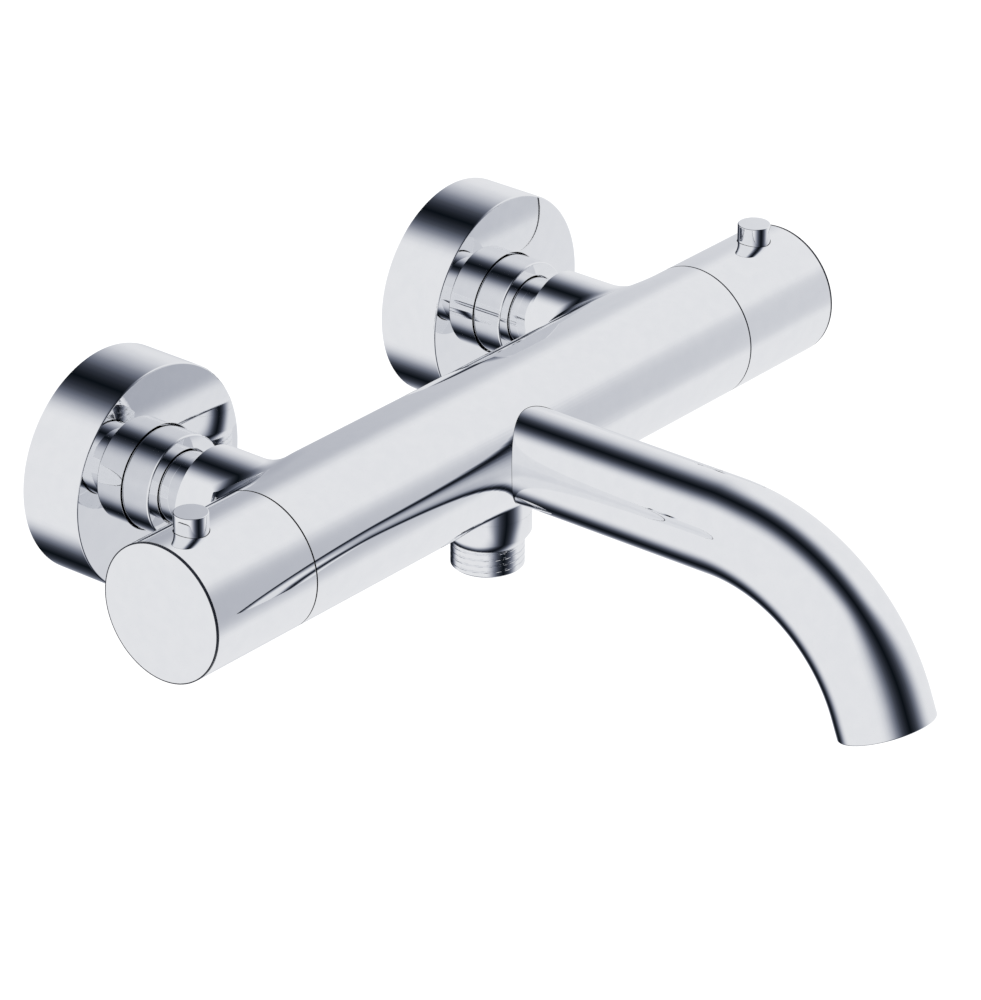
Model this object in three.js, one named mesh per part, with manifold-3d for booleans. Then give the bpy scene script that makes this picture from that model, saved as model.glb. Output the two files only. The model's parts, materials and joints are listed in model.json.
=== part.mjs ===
// Wall mounted thermostatic bath mixer: two eccentric wall unions, a round bar body, a bent tube spout,
// a shower hose outlet, a flow and diverter handle on the left and a temperature handle on the right.
// Millimetres. The wall is the plane y = 0, the room is on its -Y side, +Z is up and +X is to the right
// for someone facing the wall. The origin lies on the wall, midway between the two inlets.
import * as THREE from "three";
import { mergeVertices } from "three/addons/utils/BufferGeometryUtils.js";
import Module from "manifold-3d";

const wasm = await Module();
wasm.setup();

// Overall sizes
const INLET_SPACING = 150; // centre to centre of the two wall connections
const INLET_TO_BODY_END = 19.55; // inlet axis to the seam between body and handle
const BODY_DIAMETER = 39.8;
const HANDLE_LENGTH = 39.35;
const HANDLE_SEAM = 0.3; // running gap between a handle and the body

// General fits
const GAP = 0.3; // between faces that touch
const TURN_GAP = 0.35; // around anything that turns or slides
const COIL_GAP = 0.1; // left at each end of a spring, beyond half its wire
const CUT_PAST = 2; // how far a cutting tool runs past the face it cuts

// Wall connections
const ESCUTCHEON_DIAMETER = 65.2;
const ESCUTCHEON_DEPTH = 20;
const ESCUTCHEON_WALL = 1.4;
const ESCUTCHEON_EDGE = 0.5;
const COLLAR_DEPTH = 8; // the collar behind the escutcheon's hole
const COLLAR_LAND = 2.4; // the part of the collar that guides the nut
const COLLAR_RELIEF = 1.1; // the collar's wider bore, for the O ring
const COLLAR_WALL = 1.2;
const ESCUTCHEON_RING = 1.1; // section of the O ring between collar and nut
const ESCUTCHEON_RING_GAP = 0.5; // on the diameter, round the nut
const ESCUTCHEON_RING_DEPTH = 4.4; // its middle, behind the escutcheon's face
const ESCUTCHEON_NUT_GAP = 0.4; // around the union nut, in the escutcheon's hole
const NUT_REACH = 9.5; // how far the union nut stands out of the escutcheon
const NUT_LIP = 2.3; // thickness of the nut's inward lip
const NUT_BEVEL = 0.6;
const NUT_WALL = 1.7; // outside the union thread
const UNION_THREAD_DEPTH = 0.9; // from the union thread's crest to the flange that passes inside it
const UNION_THREAD_ENGAGED = 11.5; // how far the nut reaches back over the stud
const UNION_WASHER = 2;
const WASHER_BORE_STEP = 1; // the washer's bore is this much wider than the tailpiece's
const TAIL_DIAMETER = 21;
const TAIL_SHOWN = 10; // between the nut and the body's leg
const TAIL_SHOULDER = 1.8; // the flange's step beyond the shank
const TAIL_FLANGE = 2.3;
const TAIL_WALL = 2.2;
const TAIL_END_BORE = 13;
const TAIL_END_LEDGE = 4; // thickness of the narrower end that holds the check valve
const TAIL_THREAD_LENGTH = 10;
const WALL_THREAD_DIAMETER = 20.96; // G1/2
const WALL_THREAD_LENGTH = 15;
const THREAD_PITCH = 1.814;
const THREAD_DEPTH = 1.16;
const ECCENTRICITY = 6; // wall pipe below the inlet axis
const ECCENTRIC_FLANGE_DIAMETER = 36;
const ECCENTRIC_FLANGE = 5;
const ECCENTRIC_FLANGE_FROM_WALL = 3;
const ECCENTRIC_FLANGE_OVERLAP = 1; // how far the stem and the stud run into the flange
const WALL_BORE = 13.6;
const STUD_BORE = 17;
const STUD_BORE_STEP = 2; // how far the stud's bore runs into the flange

// Strainer and check valve
const STRAINER_HEIGHT = 7;
const STRAINER_WALL = 0.8;
const STRAINER_RIM = 1;
const STRAINER_RADIUS = 7;
const STRAINER_SLOTS = 6;
const STRAINER_SLOT_WIDTH = 0.9;
const STRAINER_SLOT_LENGTH = 3.6;
const CHECK_VALVE_WALL = 1.5;
const CHECK_VALVE_FROM_FLANGE = 3;
const CHECK_SEAT = 1.6;
const CHECK_SEAT_BORE = 8.4;
const CHECK_GUIDE = 1.5;
const CHECK_WINDOWS = 4;
const CHECK_WINDOW_LENGTH = 2.8;
const CHECK_WINDOW_WIDTH = 2.6;
const CHECK_WINDOW_RADIUS = 4.3;
const POPPET_STEM_DIAMETER = 2.4;
const POPPET_HEAD = 1.5;
const POPPET_FACE_DIAMETER = 9.2;
const POPPET_DIAMETER = 10.6;
const CHECK_SPRING_DIAMETER = 6.4;
const CHECK_SPRING_WIRE = 0.7;

// Body casting
const LEG_DIAMETER = 30;
const LEG_LENGTH = 15.6; // from the body's back line to the leg's end face
const LEG_FILLET = 12;
const LEG_FILLET_AT_RIB = 8;
const LEG_FILLET_END_MARGIN = 0.15; // left between the fillet's foot and the body's end
const RIB_OFFSET = 4.85; // axis of the thickened back, behind the body axis
const RIB_INSET = 1; // the thickened back's radius is this much under the body's
const LEG_PORT_BORE = 13;
const BODY_WALL = 3.4; // around the cartridge chambers
const FLOW_CHAMBER_DEPTH = 54.5;
const THERMOSTAT_CHAMBER_DEPTH = 64.5;
const CHANNEL_OFFSET = 8.5; // spout and shower channels, from the body axis
const CHANNEL_DIAMETER = 6.4;
const MIXED_CHANNEL_DIAMETER = 8;
const HOT_CHANNEL_OFFSET = 8; // back and up from the body axis

// Spout
const SPOUT_DIAMETER = 27.6;
const SPOUT_WALL = 1.2;
const SPOUT_LIFT = 0.5; // spout axis above the body axis
const SPOUT_STRAIGHT_SHOWN = 63.4; // from the body's front line to the start of the bend
const SPOUT_SOCKET_WALL = 1.5; // between the spout's socket and the shower outlet's
const SPOUT_BEND_RADIUS = 56.4;
const SPOUT_BEND_ANGLE = THREE.MathUtils.degToRad(69.3);
const SPOUT_TIP = 6.3;
const SPOUT_NIPPLE_LENGTH = 16;
const SPOUT_NIPPLE_WALL = 2.7;
const SPOUT_O_RING = 1.2; // section of the seal on the nipple
const SPOUT_O_RING_FROM_ROOT = 10.7;
const SPOUT_GROOVE_WIDTH = 2.6;
const SPOUT_GROOVE_DEPTH = 1.4;
const AERATOR_RECESS = 0.6;
const AERATOR_LENGTH = 8;
const AERATOR_SHELL = 1.2;
const AERATOR_LIP = 1; // the shell's inward lip at the mouth
const AERATOR_LIP_REACH = 0.8;
const AERATOR_WASHER = 1.8;
const AERATOR_WASHER_WIDTH = 2.5;
const AERATOR_CELL = 2.6;
const AERATOR_RIB = 0.8;

// Shower outlet
const OUTLET_NECK_DIAMETER = 25;
const OUTLET_BOSS = 0.5; // the face the outlet screws up against, below the body
const OUTLET_NECK_LENGTH = 6.1;
const OUTLET_BEVEL_LENGTH = 3;
const OUTLET_THREAD_LENGTH = 8;
const OUTLET_BORE = 13;
const OUTLET_STUB_DIAMETER = 16.6;
const OUTLET_STUB_LENGTH = 6;
const OUTLET_O_RING = 1; // section of the seal on the outlet's stub
const OUTLET_GROOVE_WIDTH = 2.1;
const OUTLET_GROOVE_DEPTH = 1;
const OUTLET_GROOVE_FROM_SEAT = 3.2;
const OUTLET_THREAD_RELIEF = 0.5; // plain end below the last thread
const OUTLET_BEVEL_LAND = 0.2; // the bevel's small end, outside the thread

// Handles
const HANDLE_WALL = 1.8;
const HANDLE_EDGE = 0.35;
const CAP_THICKNESS = 1.4;
const CAP_RIM = 0.6; // handle metal left around the cap
const CAP_LEDGE = 1.7;
const CAP_LEDGE_REACH = 1.3;
const CAP_SKIRT_WALL = 1.2;
const BUTTON_DIAMETER = 9.6;
const BUTTON_RISE = 5.1; // above the handle's top line
const BUTTON_FROM_END = 12.5;
const BUTTON_TRAVEL = 1.5;
const BUTTON_EDGE = 0.3;
const BUTTON_TOP_WALL = 2.4;
const BUTTON_FLANGE = 1.2;
const BUTTON_SPRING_DIAMETER = 3.8;
const BUTTON_SPRING_WIRE = 0.6;
const BUTTON_TOOTH_DIAMETER = 1.8;
const SPINDLE_DIAMETER = 9.8;
const SPLINE_DEPTH = 0.5;
const SPLINE_TEETH = 16;
const SPINDLE_TAPPED_DEPTH = 7;
const STOP_RING_WALL = 2.4;
const STOP_RING_CLEARANCE = 1; // under the floor that carries the button's spring
const SCREW_DIAMETER = 4.6;
const SCREW_HEAD_DIAMETER = 8.4;
const SCREW_HEAD = 3;
const SCREW_SHANK_IN_SPINDLE = 6;
const SCREW_SOCKET_RADIUS = 2.2;
const SCREW_SOCKET_FLOOR = 1;
const FLOW_TURN_EACH_WAY = THREE.MathUtils.degToRad(90);
const TEMPERATURE_TURN_COLD = THREE.MathUtils.degToRad(165);
const TEMPERATURE_TURN_HOT = THREE.MathUtils.degToRad(45);

// Valve cartridges
const CARTRIDGE_WAIST = 1.8; // the housings' radius between their end flanges is this much smaller
const CARTRIDGE_NECK = 9; // how far the neck reaches out of the body
const RETAINING_NUT_HEX = 4; // how far the nut's hexagon stands out of the body
const GASKET_THICKNESS = 1.5;
const PORT_STEP = 0.8; // the cartridge's ports are this much narrower than the casting's channels
const DISC_THICKNESS = 4;
const DISC_SEAT_HEIGHT = 8; // above the underside of the flow cartridge
const FLOW_HOUSING_WALL = 2;
const FLOW_HOUSING_FOOT = 3;
const TURNING_DISC_RIM = 1.6;
const THERMOSTAT_HOUSING_WALL = 2.4;
const THERMOSTAT_FOOT = 2;
const THERMOSTAT_FLOOR = 3;
const THERMOSTAT_NOSE_WALL = 2.5;
const DIVIDER_HEIGHT = 27; // middle of the land between hot and cold, above the chamber's floor
const DIVIDER_HALF = 2;
const DIVIDER_RING = 1.1;
const THERMOSTAT_WINDOW_LENGTH = 6;
const THERMOSTAT_WINDOW_WIDTH = 12;
const THERMOSTAT_WINDOW_OFFSET = 10; // each side of the divider
const SPOOL_SKIRT = 1.6;
const SPOOL_HOLES = 4;
const SPOOL_HOLE_DIAMETER = 2.4;
const RETURN_SPRING_WIRE = 1.4;
const OVERLOAD_SPRING_WIRE = 1.2;
const WAX_BULB_LENGTH = 13; // below the spool's web
const WAX_RADIUS = 4.6;
const WAX_FLANGE_RADIUS = 6.4;
const WAX_PIN_RADIUS = 1.6;

// Facets around a full turn
const LARGE_SIDES = 32;
const MEDIUM_SIDES = 16;
const INNER_SIDES = 16;
const SMALL_SIDES = 8;
const WIRE_SIDES = 4;
const ROUND_RING_CORNERS = 5;
const COIL_STEPS_PER_TURN = 6;
const SPOUT_BEND_STEPS = 9;
const FILLET_STEPS = 3;

// Worked out from the sizes above
const TAIL_FLANGE_DIAMETER = TAIL_DIAMETER + 2 * TAIL_SHOULDER;
const TAIL_BORE = TAIL_DIAMETER - 2 * TAIL_WALL;
const UNION_THREAD_DIAMETER = TAIL_FLANGE_DIAMETER + 2 * UNION_THREAD_DEPTH;
const NUT_DIAMETER = UNION_THREAD_DIAMETER + 2 * NUT_WALL;
const BODY_RADIUS = BODY_DIAMETER / 2;
const INLET_X = INLET_SPACING / 2;
const BODY_END = INLET_X + INLET_TO_BODY_END;
const HANDLE_START = BODY_END + HANDLE_SEAM;
const HANDLE_END = HANDLE_START + HANDLE_LENGTH;
const RIB_DIAMETER = BODY_DIAMETER - 2 * RIB_INSET;
const CHAMBER_DIAMETER = BODY_DIAMETER - 2 * BODY_WALL;
const CHAMBER_RADIUS = CHAMBER_DIAMETER / 2;
const FLOW_CHAMBER_FLOOR = BODY_END - FLOW_CHAMBER_DEPTH;
const THERMOSTAT_CHAMBER_FLOOR = BODY_END - THERMOSTAT_CHAMBER_DEPTH;
const NUT_END = ESCUTCHEON_DEPTH + NUT_REACH;
const NUT_LIP_FACE = NUT_END - NUT_LIP;
const LEG_FACE_FROM_WALL = NUT_END + TAIL_SHOWN;
const AXIS_FROM_WALL = LEG_FACE_FROM_WALL + LEG_LENGTH + BODY_RADIUS;
const TAIL_FLANGE_TOP = NUT_LIP_FACE - GAP - TAIL_FLANGE;
const WASHER_TOP = TAIL_FLANGE_TOP - GAP - UNION_WASHER;
const STUD_END = WASHER_TOP - GAP;
const CHECK_VALVE_TOP = TAIL_FLANGE_TOP + CHECK_VALVE_FROM_FLANGE;
const CHECK_VALVE_END = LEG_FACE_FROM_WALL + TAIL_THREAD_LENGTH - TAIL_END_LEDGE - GAP;
const SPOUT_SOCKET_FLOOR = OUTLET_STUB_DIAMETER / 2 + GAP + SPOUT_SOCKET_WALL; // in front of the body axis
const SPOUT_ROOT = SPOUT_SOCKET_FLOOR + GAP;
const SPOUT_STRAIGHT = BODY_RADIUS + SPOUT_STRAIGHT_SHOWN; // body axis to the start of the bend
const OUTLET_SEAT_DROP = BODY_RADIUS + OUTLET_BOSS;
const OUTLET_NECK_END = OUTLET_SEAT_DROP + OUTLET_NECK_LENGTH;
const OUTLET_THREAD_START = OUTLET_NECK_END + OUTLET_BEVEL_LENGTH;
const OUTLET_END = OUTLET_THREAD_START + OUTLET_THREAD_LENGTH;

function material(color, roughness, metalness) {
  return new THREE.MeshStandardMaterial({ color, roughness, metalness });
}

const chrome = () => material(0xdfe1e4, 0.05, 1);
const brass = () => material(0xc9a45c, 0.35, 1);
const steel = () => material(0xb9bcc0, 0.3, 1);
const rubber = () => material(0x17181a, 0.75, 0);
const whitePlastic = () => material(0xe8e8e4, 0.45, 0);
const greyPlastic = () => material(0x6d7276, 0.5, 0);
const ceramic = () => material(0xf2efe6, 0.2, 0);

// A closed geometry as a solid that can be cut and joined, with its faces turned outwards.
function solid(geometry) {
  const bare = geometry.index ? geometry.toNonIndexed() : geometry.clone();
  bare.deleteAttribute("normal");
  bare.deleteAttribute("uv");
  const merged = mergeVertices(bare, 1e-4);
  const vertProperties = new Float32Array(merged.attributes.position.array);
  const triVerts = new Uint32Array(merged.index.array);
  const made = new wasm.Manifold(new wasm.Mesh({ numProp: 3, vertProperties, triVerts }));
  if (made.volume() > 0) return made;
  return new wasm.Manifold(new wasm.Mesh({ numProp: 3, vertProperties, triVerts: triVerts.reverse() }));
}

function piece(name, finish, shape) {
  const cut = shape.getMesh();
  const geometry = new THREE.BufferGeometry();
  geometry.setAttribute("position", new THREE.BufferAttribute(new Float32Array(cut.vertProperties), 3));
  geometry.setIndex(new THREE.BufferAttribute(new Uint32Array(cut.triVerts), 1));
  geometry.computeVertexNormals();
  const mesh = new THREE.Mesh(geometry, finish);
  mesh.name = name;
  return mesh;
}

// A solid of revolution about Y from [radius, height] points. A profile off the axis is closed into a ring.
function turned(profile, sides) {
  const points = profile.map(([radius, height]) => new THREE.Vector2(radius, height));
  const onAxis = points[0].x === 0 && points[points.length - 1].x === 0;
  if (!onAxis) points.push(points[0].clone());
  return solid(new THREE.LatheGeometry(points, sides));
}

function rod(diameter, from, to, sides) {
  const radius = diameter / 2;
  return turned([[0, from], [radius, from], [radius, to], [0, to]], sides);
}

function tube(outer, inner, from, to, sides) {
  return turned([[inner / 2, from], [outer / 2, from], [outer / 2, to], [inner / 2, to]], sides);
}

function block(width, height, depth, x, y, z) {
  return solid(new THREE.BoxGeometry(width, height, depth).translate(x, y, z));
}

// A ring of round section about Y, centred at the given height.
function roundRing(innerDiameter, thickness, height, sides) {
  const centre = innerDiameter / 2 + thickness / 2;
  const profile = [];
  for (let i = 0; i < ROUND_RING_CORNERS; i++) {
    const angle = (2 * Math.PI * i) / ROUND_RING_CORNERS;
    profile.push([centre + (thickness / 2) * Math.cos(angle), height + (thickness / 2) * Math.sin(angle)]);
  }
  return turned(profile, sides);
}

class Helix extends THREE.Curve {
  constructor(radius, from, to, turns) {
    super();
    Object.assign(this, { radius, from, to, turns });
  }
  getPoint(t, target = new THREE.Vector3()) {
    const angle = 2 * Math.PI * this.turns * t;
    const height = THREE.MathUtils.lerp(this.from, this.to, t);
    return target.set(this.radius * Math.cos(angle), height, this.radius * Math.sin(angle));
  }
}

function regularShape(radius, sides) {
  const shape = new THREE.Shape();
  for (let i = 0; i < sides; i++) {
    const angle = (2 * Math.PI * i) / sides;
    const x = radius * Math.cos(angle);
    const y = radius * Math.sin(angle);
    if (i === 0) shape.moveTo(x, y);
    else shape.lineTo(x, y);
  }
  shape.closePath();
  return shape;
}

// A compression spring about Y whose wire stays between the two heights.
function coil(meanDiameter, wire, from, to, turns) {
  const path = new Helix(meanDiameter / 2, from + wire, to - wire, turns);
  const steps = Math.round(turns * COIL_STEPS_PER_TURN);
  const section = regularShape(wire / 2, WIRE_SIDES);
  return solid(new THREE.ExtrudeGeometry(section, { steps, extrudePath: path, bevelEnabled: false }));
}

// A flat outline in the XZ plane, raised along Y between two heights.
function raised(shape, from, to) {
  const geometry = new THREE.ExtrudeGeometry(shape, { depth: to - from, bevelEnabled: false });
  return solid(geometry.rotateX(Math.PI / 2).translate(0, to, 0));
}

// The part of a disc between two angles. Angles run from +X towards +Z.
function sector(radius, fromAngle, toAngle, from, to) {
  const shape = new THREE.Shape();
  const steps = Math.max(3, Math.ceil((toAngle - fromAngle) / (Math.PI / 9)));
  shape.moveTo(0, 0);
  for (let i = 0; i <= steps; i++) {
    const angle = THREE.MathUtils.lerp(fromAngle, toAngle, i / steps);
    shape.lineTo(radius * Math.cos(angle), radius * Math.sin(angle));
  }
  shape.closePath();
  return raised(shape, from, to);
}

function starShape(radius, depth, teeth) {
  const shape = new THREE.Shape();
  for (let i = 0; i < 2 * teeth; i++) {
    const angle = (Math.PI * i) / teeth;
    const reach = i % 2 ? radius - depth : radius;
    if (i === 0) shape.moveTo(reach, 0);
    else shape.lineTo(reach * Math.cos(angle), reach * Math.sin(angle));
  }
  shape.closePath();
  return shape;
}

// [radius, height] points of a thread's outline, as ridges one pitch apart, going up from one height.
function threadOutline(diameter, from, to) {
  const crest = diameter / 2;
  const turns = Math.floor((to - from) / THREAD_PITCH);
  const points = [[crest - THREAD_DEPTH, from]];
  for (let i = 0; i < turns; i++) {
    const start = from + i * THREAD_PITCH;
    points.push([crest, start + THREAD_PITCH * 0.5]);
    points.push([crest - THREAD_DEPTH, start + THREAD_PITCH]);
  }
  points.push([crest - THREAD_DEPTH, to]);
  return points;
}

// Moves a solid made about Y so that its axis runs along X or Z, through the given point.
function along(shape, axis, x, y, z) {
  const turns = { x: [0, 0, -90], y: [0, 0, 0], z: [90, 0, 0], down: [-90, 0, 0], back: [180, 0, 0] };
  return shape.rotate(turns[axis]).translate([x, y, z]);
}

// ---- Wall connections, about Y with the wall at 0 and the room at negative heights ----

function escutcheon() {
  const outer = ESCUTCHEON_DIAMETER / 2;
  const inner = outer - ESCUTCHEON_WALL;
  const hole = NUT_DIAMETER / 2 + ESCUTCHEON_NUT_GAP;
  const front = -ESCUTCHEON_DEPTH;
  const collar = hole + COLLAR_RELIEF;
  const back = front + COLLAR_DEPTH;
  const outline = [[outer, 0], [outer, front + ESCUTCHEON_EDGE], [outer - ESCUTCHEON_EDGE, front]];
  const bore = [[hole, front], [hole, front + COLLAR_LAND], [collar, front + COLLAR_LAND], [collar, back]];
  const inside = [[collar + COLLAR_WALL, back], [collar + COLLAR_WALL, front + ESCUTCHEON_WALL]];
  return turned([...outline, ...bore, ...inside, [inner, front + ESCUTCHEON_WALL], [inner, 0]], LARGE_SIDES);
}

function escutcheonRing() {
  const inner = NUT_DIAMETER + ESCUTCHEON_RING_GAP;
  return roundRing(inner, ESCUTCHEON_RING, -ESCUTCHEON_DEPTH + ESCUTCHEON_RING_DEPTH, MEDIUM_SIDES);
}

// Eccentric wall union: its threaded wall end sits below the stud that takes the union nut.
function wallUnion() {
  const flangeEnd = -ECCENTRIC_FLANGE_FROM_WALL - ECCENTRIC_FLANGE;
  const inFlange = flangeEnd + ECCENTRIC_FLANGE_OVERLAP;
  const start = [[0, inFlange], [WALL_THREAD_DIAMETER / 2, inFlange]];
  const thread = threadOutline(WALL_THREAD_DIAMETER, 0, WALL_THREAD_LENGTH - 1);
  const end = [[WALL_THREAD_DIAMETER / 2 - THREAD_DEPTH, WALL_THREAD_LENGTH], [0, WALL_THREAD_LENGTH]];
  const stem = turned([...start, ...thread, ...end], INNER_SIDES);
  const flange = rod(ECCENTRIC_FLANGE_DIAMETER, flangeEnd, -ECCENTRIC_FLANGE_FROM_WALL, MEDIUM_SIDES);
  const stud = rod(UNION_THREAD_DIAMETER, -STUD_END, inFlange, MEDIUM_SIDES);
  const wallBore = rod(WALL_BORE, flangeEnd, WALL_THREAD_LENGTH + CUT_PAST, INNER_SIDES);
  const studBore = rod(STUD_BORE, -STUD_END - CUT_PAST, flangeEnd + STUD_BORE_STEP, MEDIUM_SIDES);
  return stem
    .translate([0, 0, -ECCENTRICITY])
    .add(flange.translate([0, 0, -ECCENTRICITY / 2]))
    .add(stud)
    .subtract(wallBore.translate([0, 0, -ECCENTRICITY]))
    .subtract(studBore);
}

function unionNut() {
  const outer = NUT_DIAMETER / 2;
  const lipBore = TAIL_DIAMETER / 2 + TURN_GAP;
  const threadBore = UNION_THREAD_DIAMETER / 2 + TURN_GAP;
  const back = -STUD_END + UNION_THREAD_ENGAGED;
  const sleeve = [[threadBore, back], [outer, back]];
  const bevel = [[outer, -NUT_END + NUT_BEVEL], [outer - NUT_BEVEL, -NUT_END]];
  const lip = [[lipBore, -NUT_END], [lipBore, -NUT_LIP_FACE], [threadBore, -NUT_LIP_FACE]];
  return turned([...sleeve, ...bevel, ...lip], MEDIUM_SIDES);
}

function unionWasher() {
  const bore = TAIL_BORE + WASHER_BORE_STEP;
  return tube(TAIL_FLANGE_DIAMETER, bore, -WASHER_TOP - UNION_WASHER, -WASHER_TOP, MEDIUM_SIDES);
}

// A slotted cap that keeps grit out of the check valve, seated inside the washer.
function strainer() {
  const rim = TAIL_BORE / 2 - 0.1;
  const seat = -WASHER_TOP - UNION_WASHER;
  const crown = seat + STRAINER_HEIGHT;
  const shoulder = STRAINER_RADIUS * 0.8;
  const wall = STRAINER_WALL;
  const outline = [[0, crown], [shoulder, crown - 2 * wall], [STRAINER_RADIUS, seat + STRAINER_RIM]];
  const flange = [[rim, seat + STRAINER_RIM], [rim, seat], [STRAINER_RADIUS - wall, seat]];
  let slotted = turned(
    [...outline, ...flange, [shoulder - wall, crown - 3 * wall], [0, crown - wall]],
    SMALL_SIDES,
  );
  const middle = STRAINER_SLOT_LENGTH;
  for (let i = 0; i < STRAINER_SLOTS; i++) {
    const slot = block(STRAINER_SLOT_LENGTH, 3, STRAINER_SLOT_WIDTH, middle, crown - 1, 0);
    slotted = slotted.subtract(slot.rotate([0, (360 * i) / STRAINER_SLOTS, 0]));
  }
  return slotted;
}

// The flanged nipple that the nut draws against the wall union. Its far end screws into the body's leg.
function tailpiece() {
  const radius = TAIL_DIAMETER / 2;
  const top = -TAIL_FLANGE_TOP;
  const end = -LEG_FACE_FROM_WALL - TAIL_THREAD_LENGTH;
  const bore = TAIL_BORE / 2;
  const ledge = end + TAIL_END_LEDGE;
  const endBore = TAIL_END_BORE / 2;
  const rim = TAIL_FLANGE_DIAMETER / 2;
  const flange = [[bore, top], [rim, top], [rim, top - TAIL_FLANGE]];
  const shank = [[radius, top - TAIL_FLANGE], [radius, end], [endBore, end]];
  return turned([...flange, ...shank, [endBore, ledge], [bore, ledge]], MEDIUM_SIDES);
}

function checkValveHousing() {
  const outer = TAIL_BORE / 2 - GAP;
  const inner = outer - CHECK_VALVE_WALL;
  const mouth = CHECK_SEAT_BORE / 2;
  const top = -CHECK_VALVE_TOP;
  const end = -CHECK_VALVE_END;
  const guideBore = POPPET_STEM_DIAMETER / 2 + TURN_GAP;
  const outline = [[mouth, top], [outer, top], [outer, end]];
  const guide = [[guideBore, end], [guideBore, end + CHECK_GUIDE], [inner, end + CHECK_GUIDE]];
  const seat = [[inner, top - CHECK_SEAT], [mouth, top - CHECK_SEAT]];
  let housing = turned([...outline, ...guide, ...seat], SMALL_SIDES);
  const through = 2 * (CHECK_GUIDE + CUT_PAST);
  for (let i = 0; i < CHECK_WINDOWS; i++) {
    const window = block(CHECK_WINDOW_LENGTH, through, CHECK_WINDOW_WIDTH, CHECK_WINDOW_RADIUS, end, 0);
    housing = housing.subtract(window.rotate([0, (360 * i) / CHECK_WINDOWS, 0]));
  }
  return housing;
}

function checkValvePoppet() {
  const top = -CHECK_VALVE_TOP - CHECK_SEAT - GAP;
  const under = top - POPPET_HEAD;
  const stem = POPPET_STEM_DIAMETER / 2;
  const head = [[0, top], [POPPET_FACE_DIAMETER / 2, top], [POPPET_DIAMETER / 2, under]];
  return turned([...head, [stem, under], [stem, -CHECK_VALVE_END], [0, -CHECK_VALVE_END]], SMALL_SIDES);
}

function checkValveSpring() {
  const top = -CHECK_VALVE_TOP - CHECK_SEAT - GAP - POPPET_HEAD - COIL_GAP;
  const bottom = -CHECK_VALVE_END + CHECK_GUIDE + COIL_GAP;
  return coil(CHECK_SPRING_DIAMETER, CHECK_SPRING_WIRE, bottom, top, 4);
}

function wallConnection(side, x) {
  const group = new THREE.Group();
  group.position.x = x;
  group.add(piece(side + "_escutcheon", chrome(), escutcheon()));
  group.add(piece(side + "_escutcheon_ring", rubber(), escutcheonRing()));
  group.add(piece(side + "_wall_union", chrome(), wallUnion()));
  group.add(piece(side + "_union_nut", chrome(), unionNut()));
  group.add(piece(side + "_union_washer", rubber(), unionWasher()));
  group.add(piece(side + "_strainer", steel(), strainer()));
  group.add(piece(side + "_tailpiece", chrome(), tailpiece()));
  group.add(piece(side + "_check_valve_housing", whitePlastic(), checkValveHousing()));
  group.add(piece(side + "_check_valve_poppet", greyPlastic(), checkValvePoppet()));
  group.add(piece(side + "_check_valve_spring", steel(), checkValveSpring()));
  return group;
}

// ---- Body casting ----

// The back half of the body's section, grown by an offset: its height above the body axis gives how far back
// it lies, and its unit normal. Between the legs the section is the hull of the body's circle and the rib's.
function backOfSection(up, offset, ribbed) {
  const large = BODY_RADIUS + offset;
  const small = RIB_DIAMETER / 2 + offset;
  const slope = Math.acos((large - small) / RIB_OFFSET);
  const height = Math.abs(up);
  const side = Math.sign(up) || 1;
  if (!ribbed || height >= large * Math.sin(slope)) {
    const back = Math.sqrt(large ** 2 - height ** 2);
    return { back, normal: [back / large, up / large] };
  }
  if (height <= small * Math.sin(slope)) {
    const back = Math.sqrt(small ** 2 - height ** 2);
    return { back: RIB_OFFSET + back, normal: [back / small, up / small] };
  }
  const share = (height - small * Math.sin(slope)) / ((large - small) * Math.sin(slope));
  const back = THREE.MathUtils.lerp(RIB_OFFSET + small * Math.cos(slope), large * Math.cos(slope), share);
  return { back, normal: [Math.cos(slope), side * Math.sin(slope)] };
}

// The points down one side of a leg's fillet: the arc left by a ball that touches the leg and the body.
function filletColumn(angle, fillet, ribbed) {
  const reach = LEG_DIAMETER / 2 + fillet;
  const up = reach * Math.sin(angle);
  const section = backOfSection(up, fillet, ribbed);
  const ball = new THREE.Vector3(reach * Math.cos(angle), section.back, up);
  const toLeg = new THREE.Vector3(-Math.cos(angle), 0, -Math.sin(angle));
  const toBody = new THREE.Vector3(0, -section.normal[0], -section.normal[1]);
  const sweep = toLeg.angleTo(toBody);
  const column = [];
  for (let i = 0; i <= FILLET_STEPS; i++) {
    const share = i / FILLET_STEPS;
    const direction = toLeg.clone().multiplyScalar(Math.sin((1 - share) * sweep) / Math.sin(sweep));
    direction.addScaledVector(toBody, Math.sin(share * sweep) / Math.sin(sweep));
    column.push(ball.clone().addScaledVector(direction, fillet));
  }
  const foot = column[FILLET_STEPS];
  column.push(new THREE.Vector3(foot.x, foot.y * 0.6, foot.z * 0.6));
  return column;
}

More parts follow.
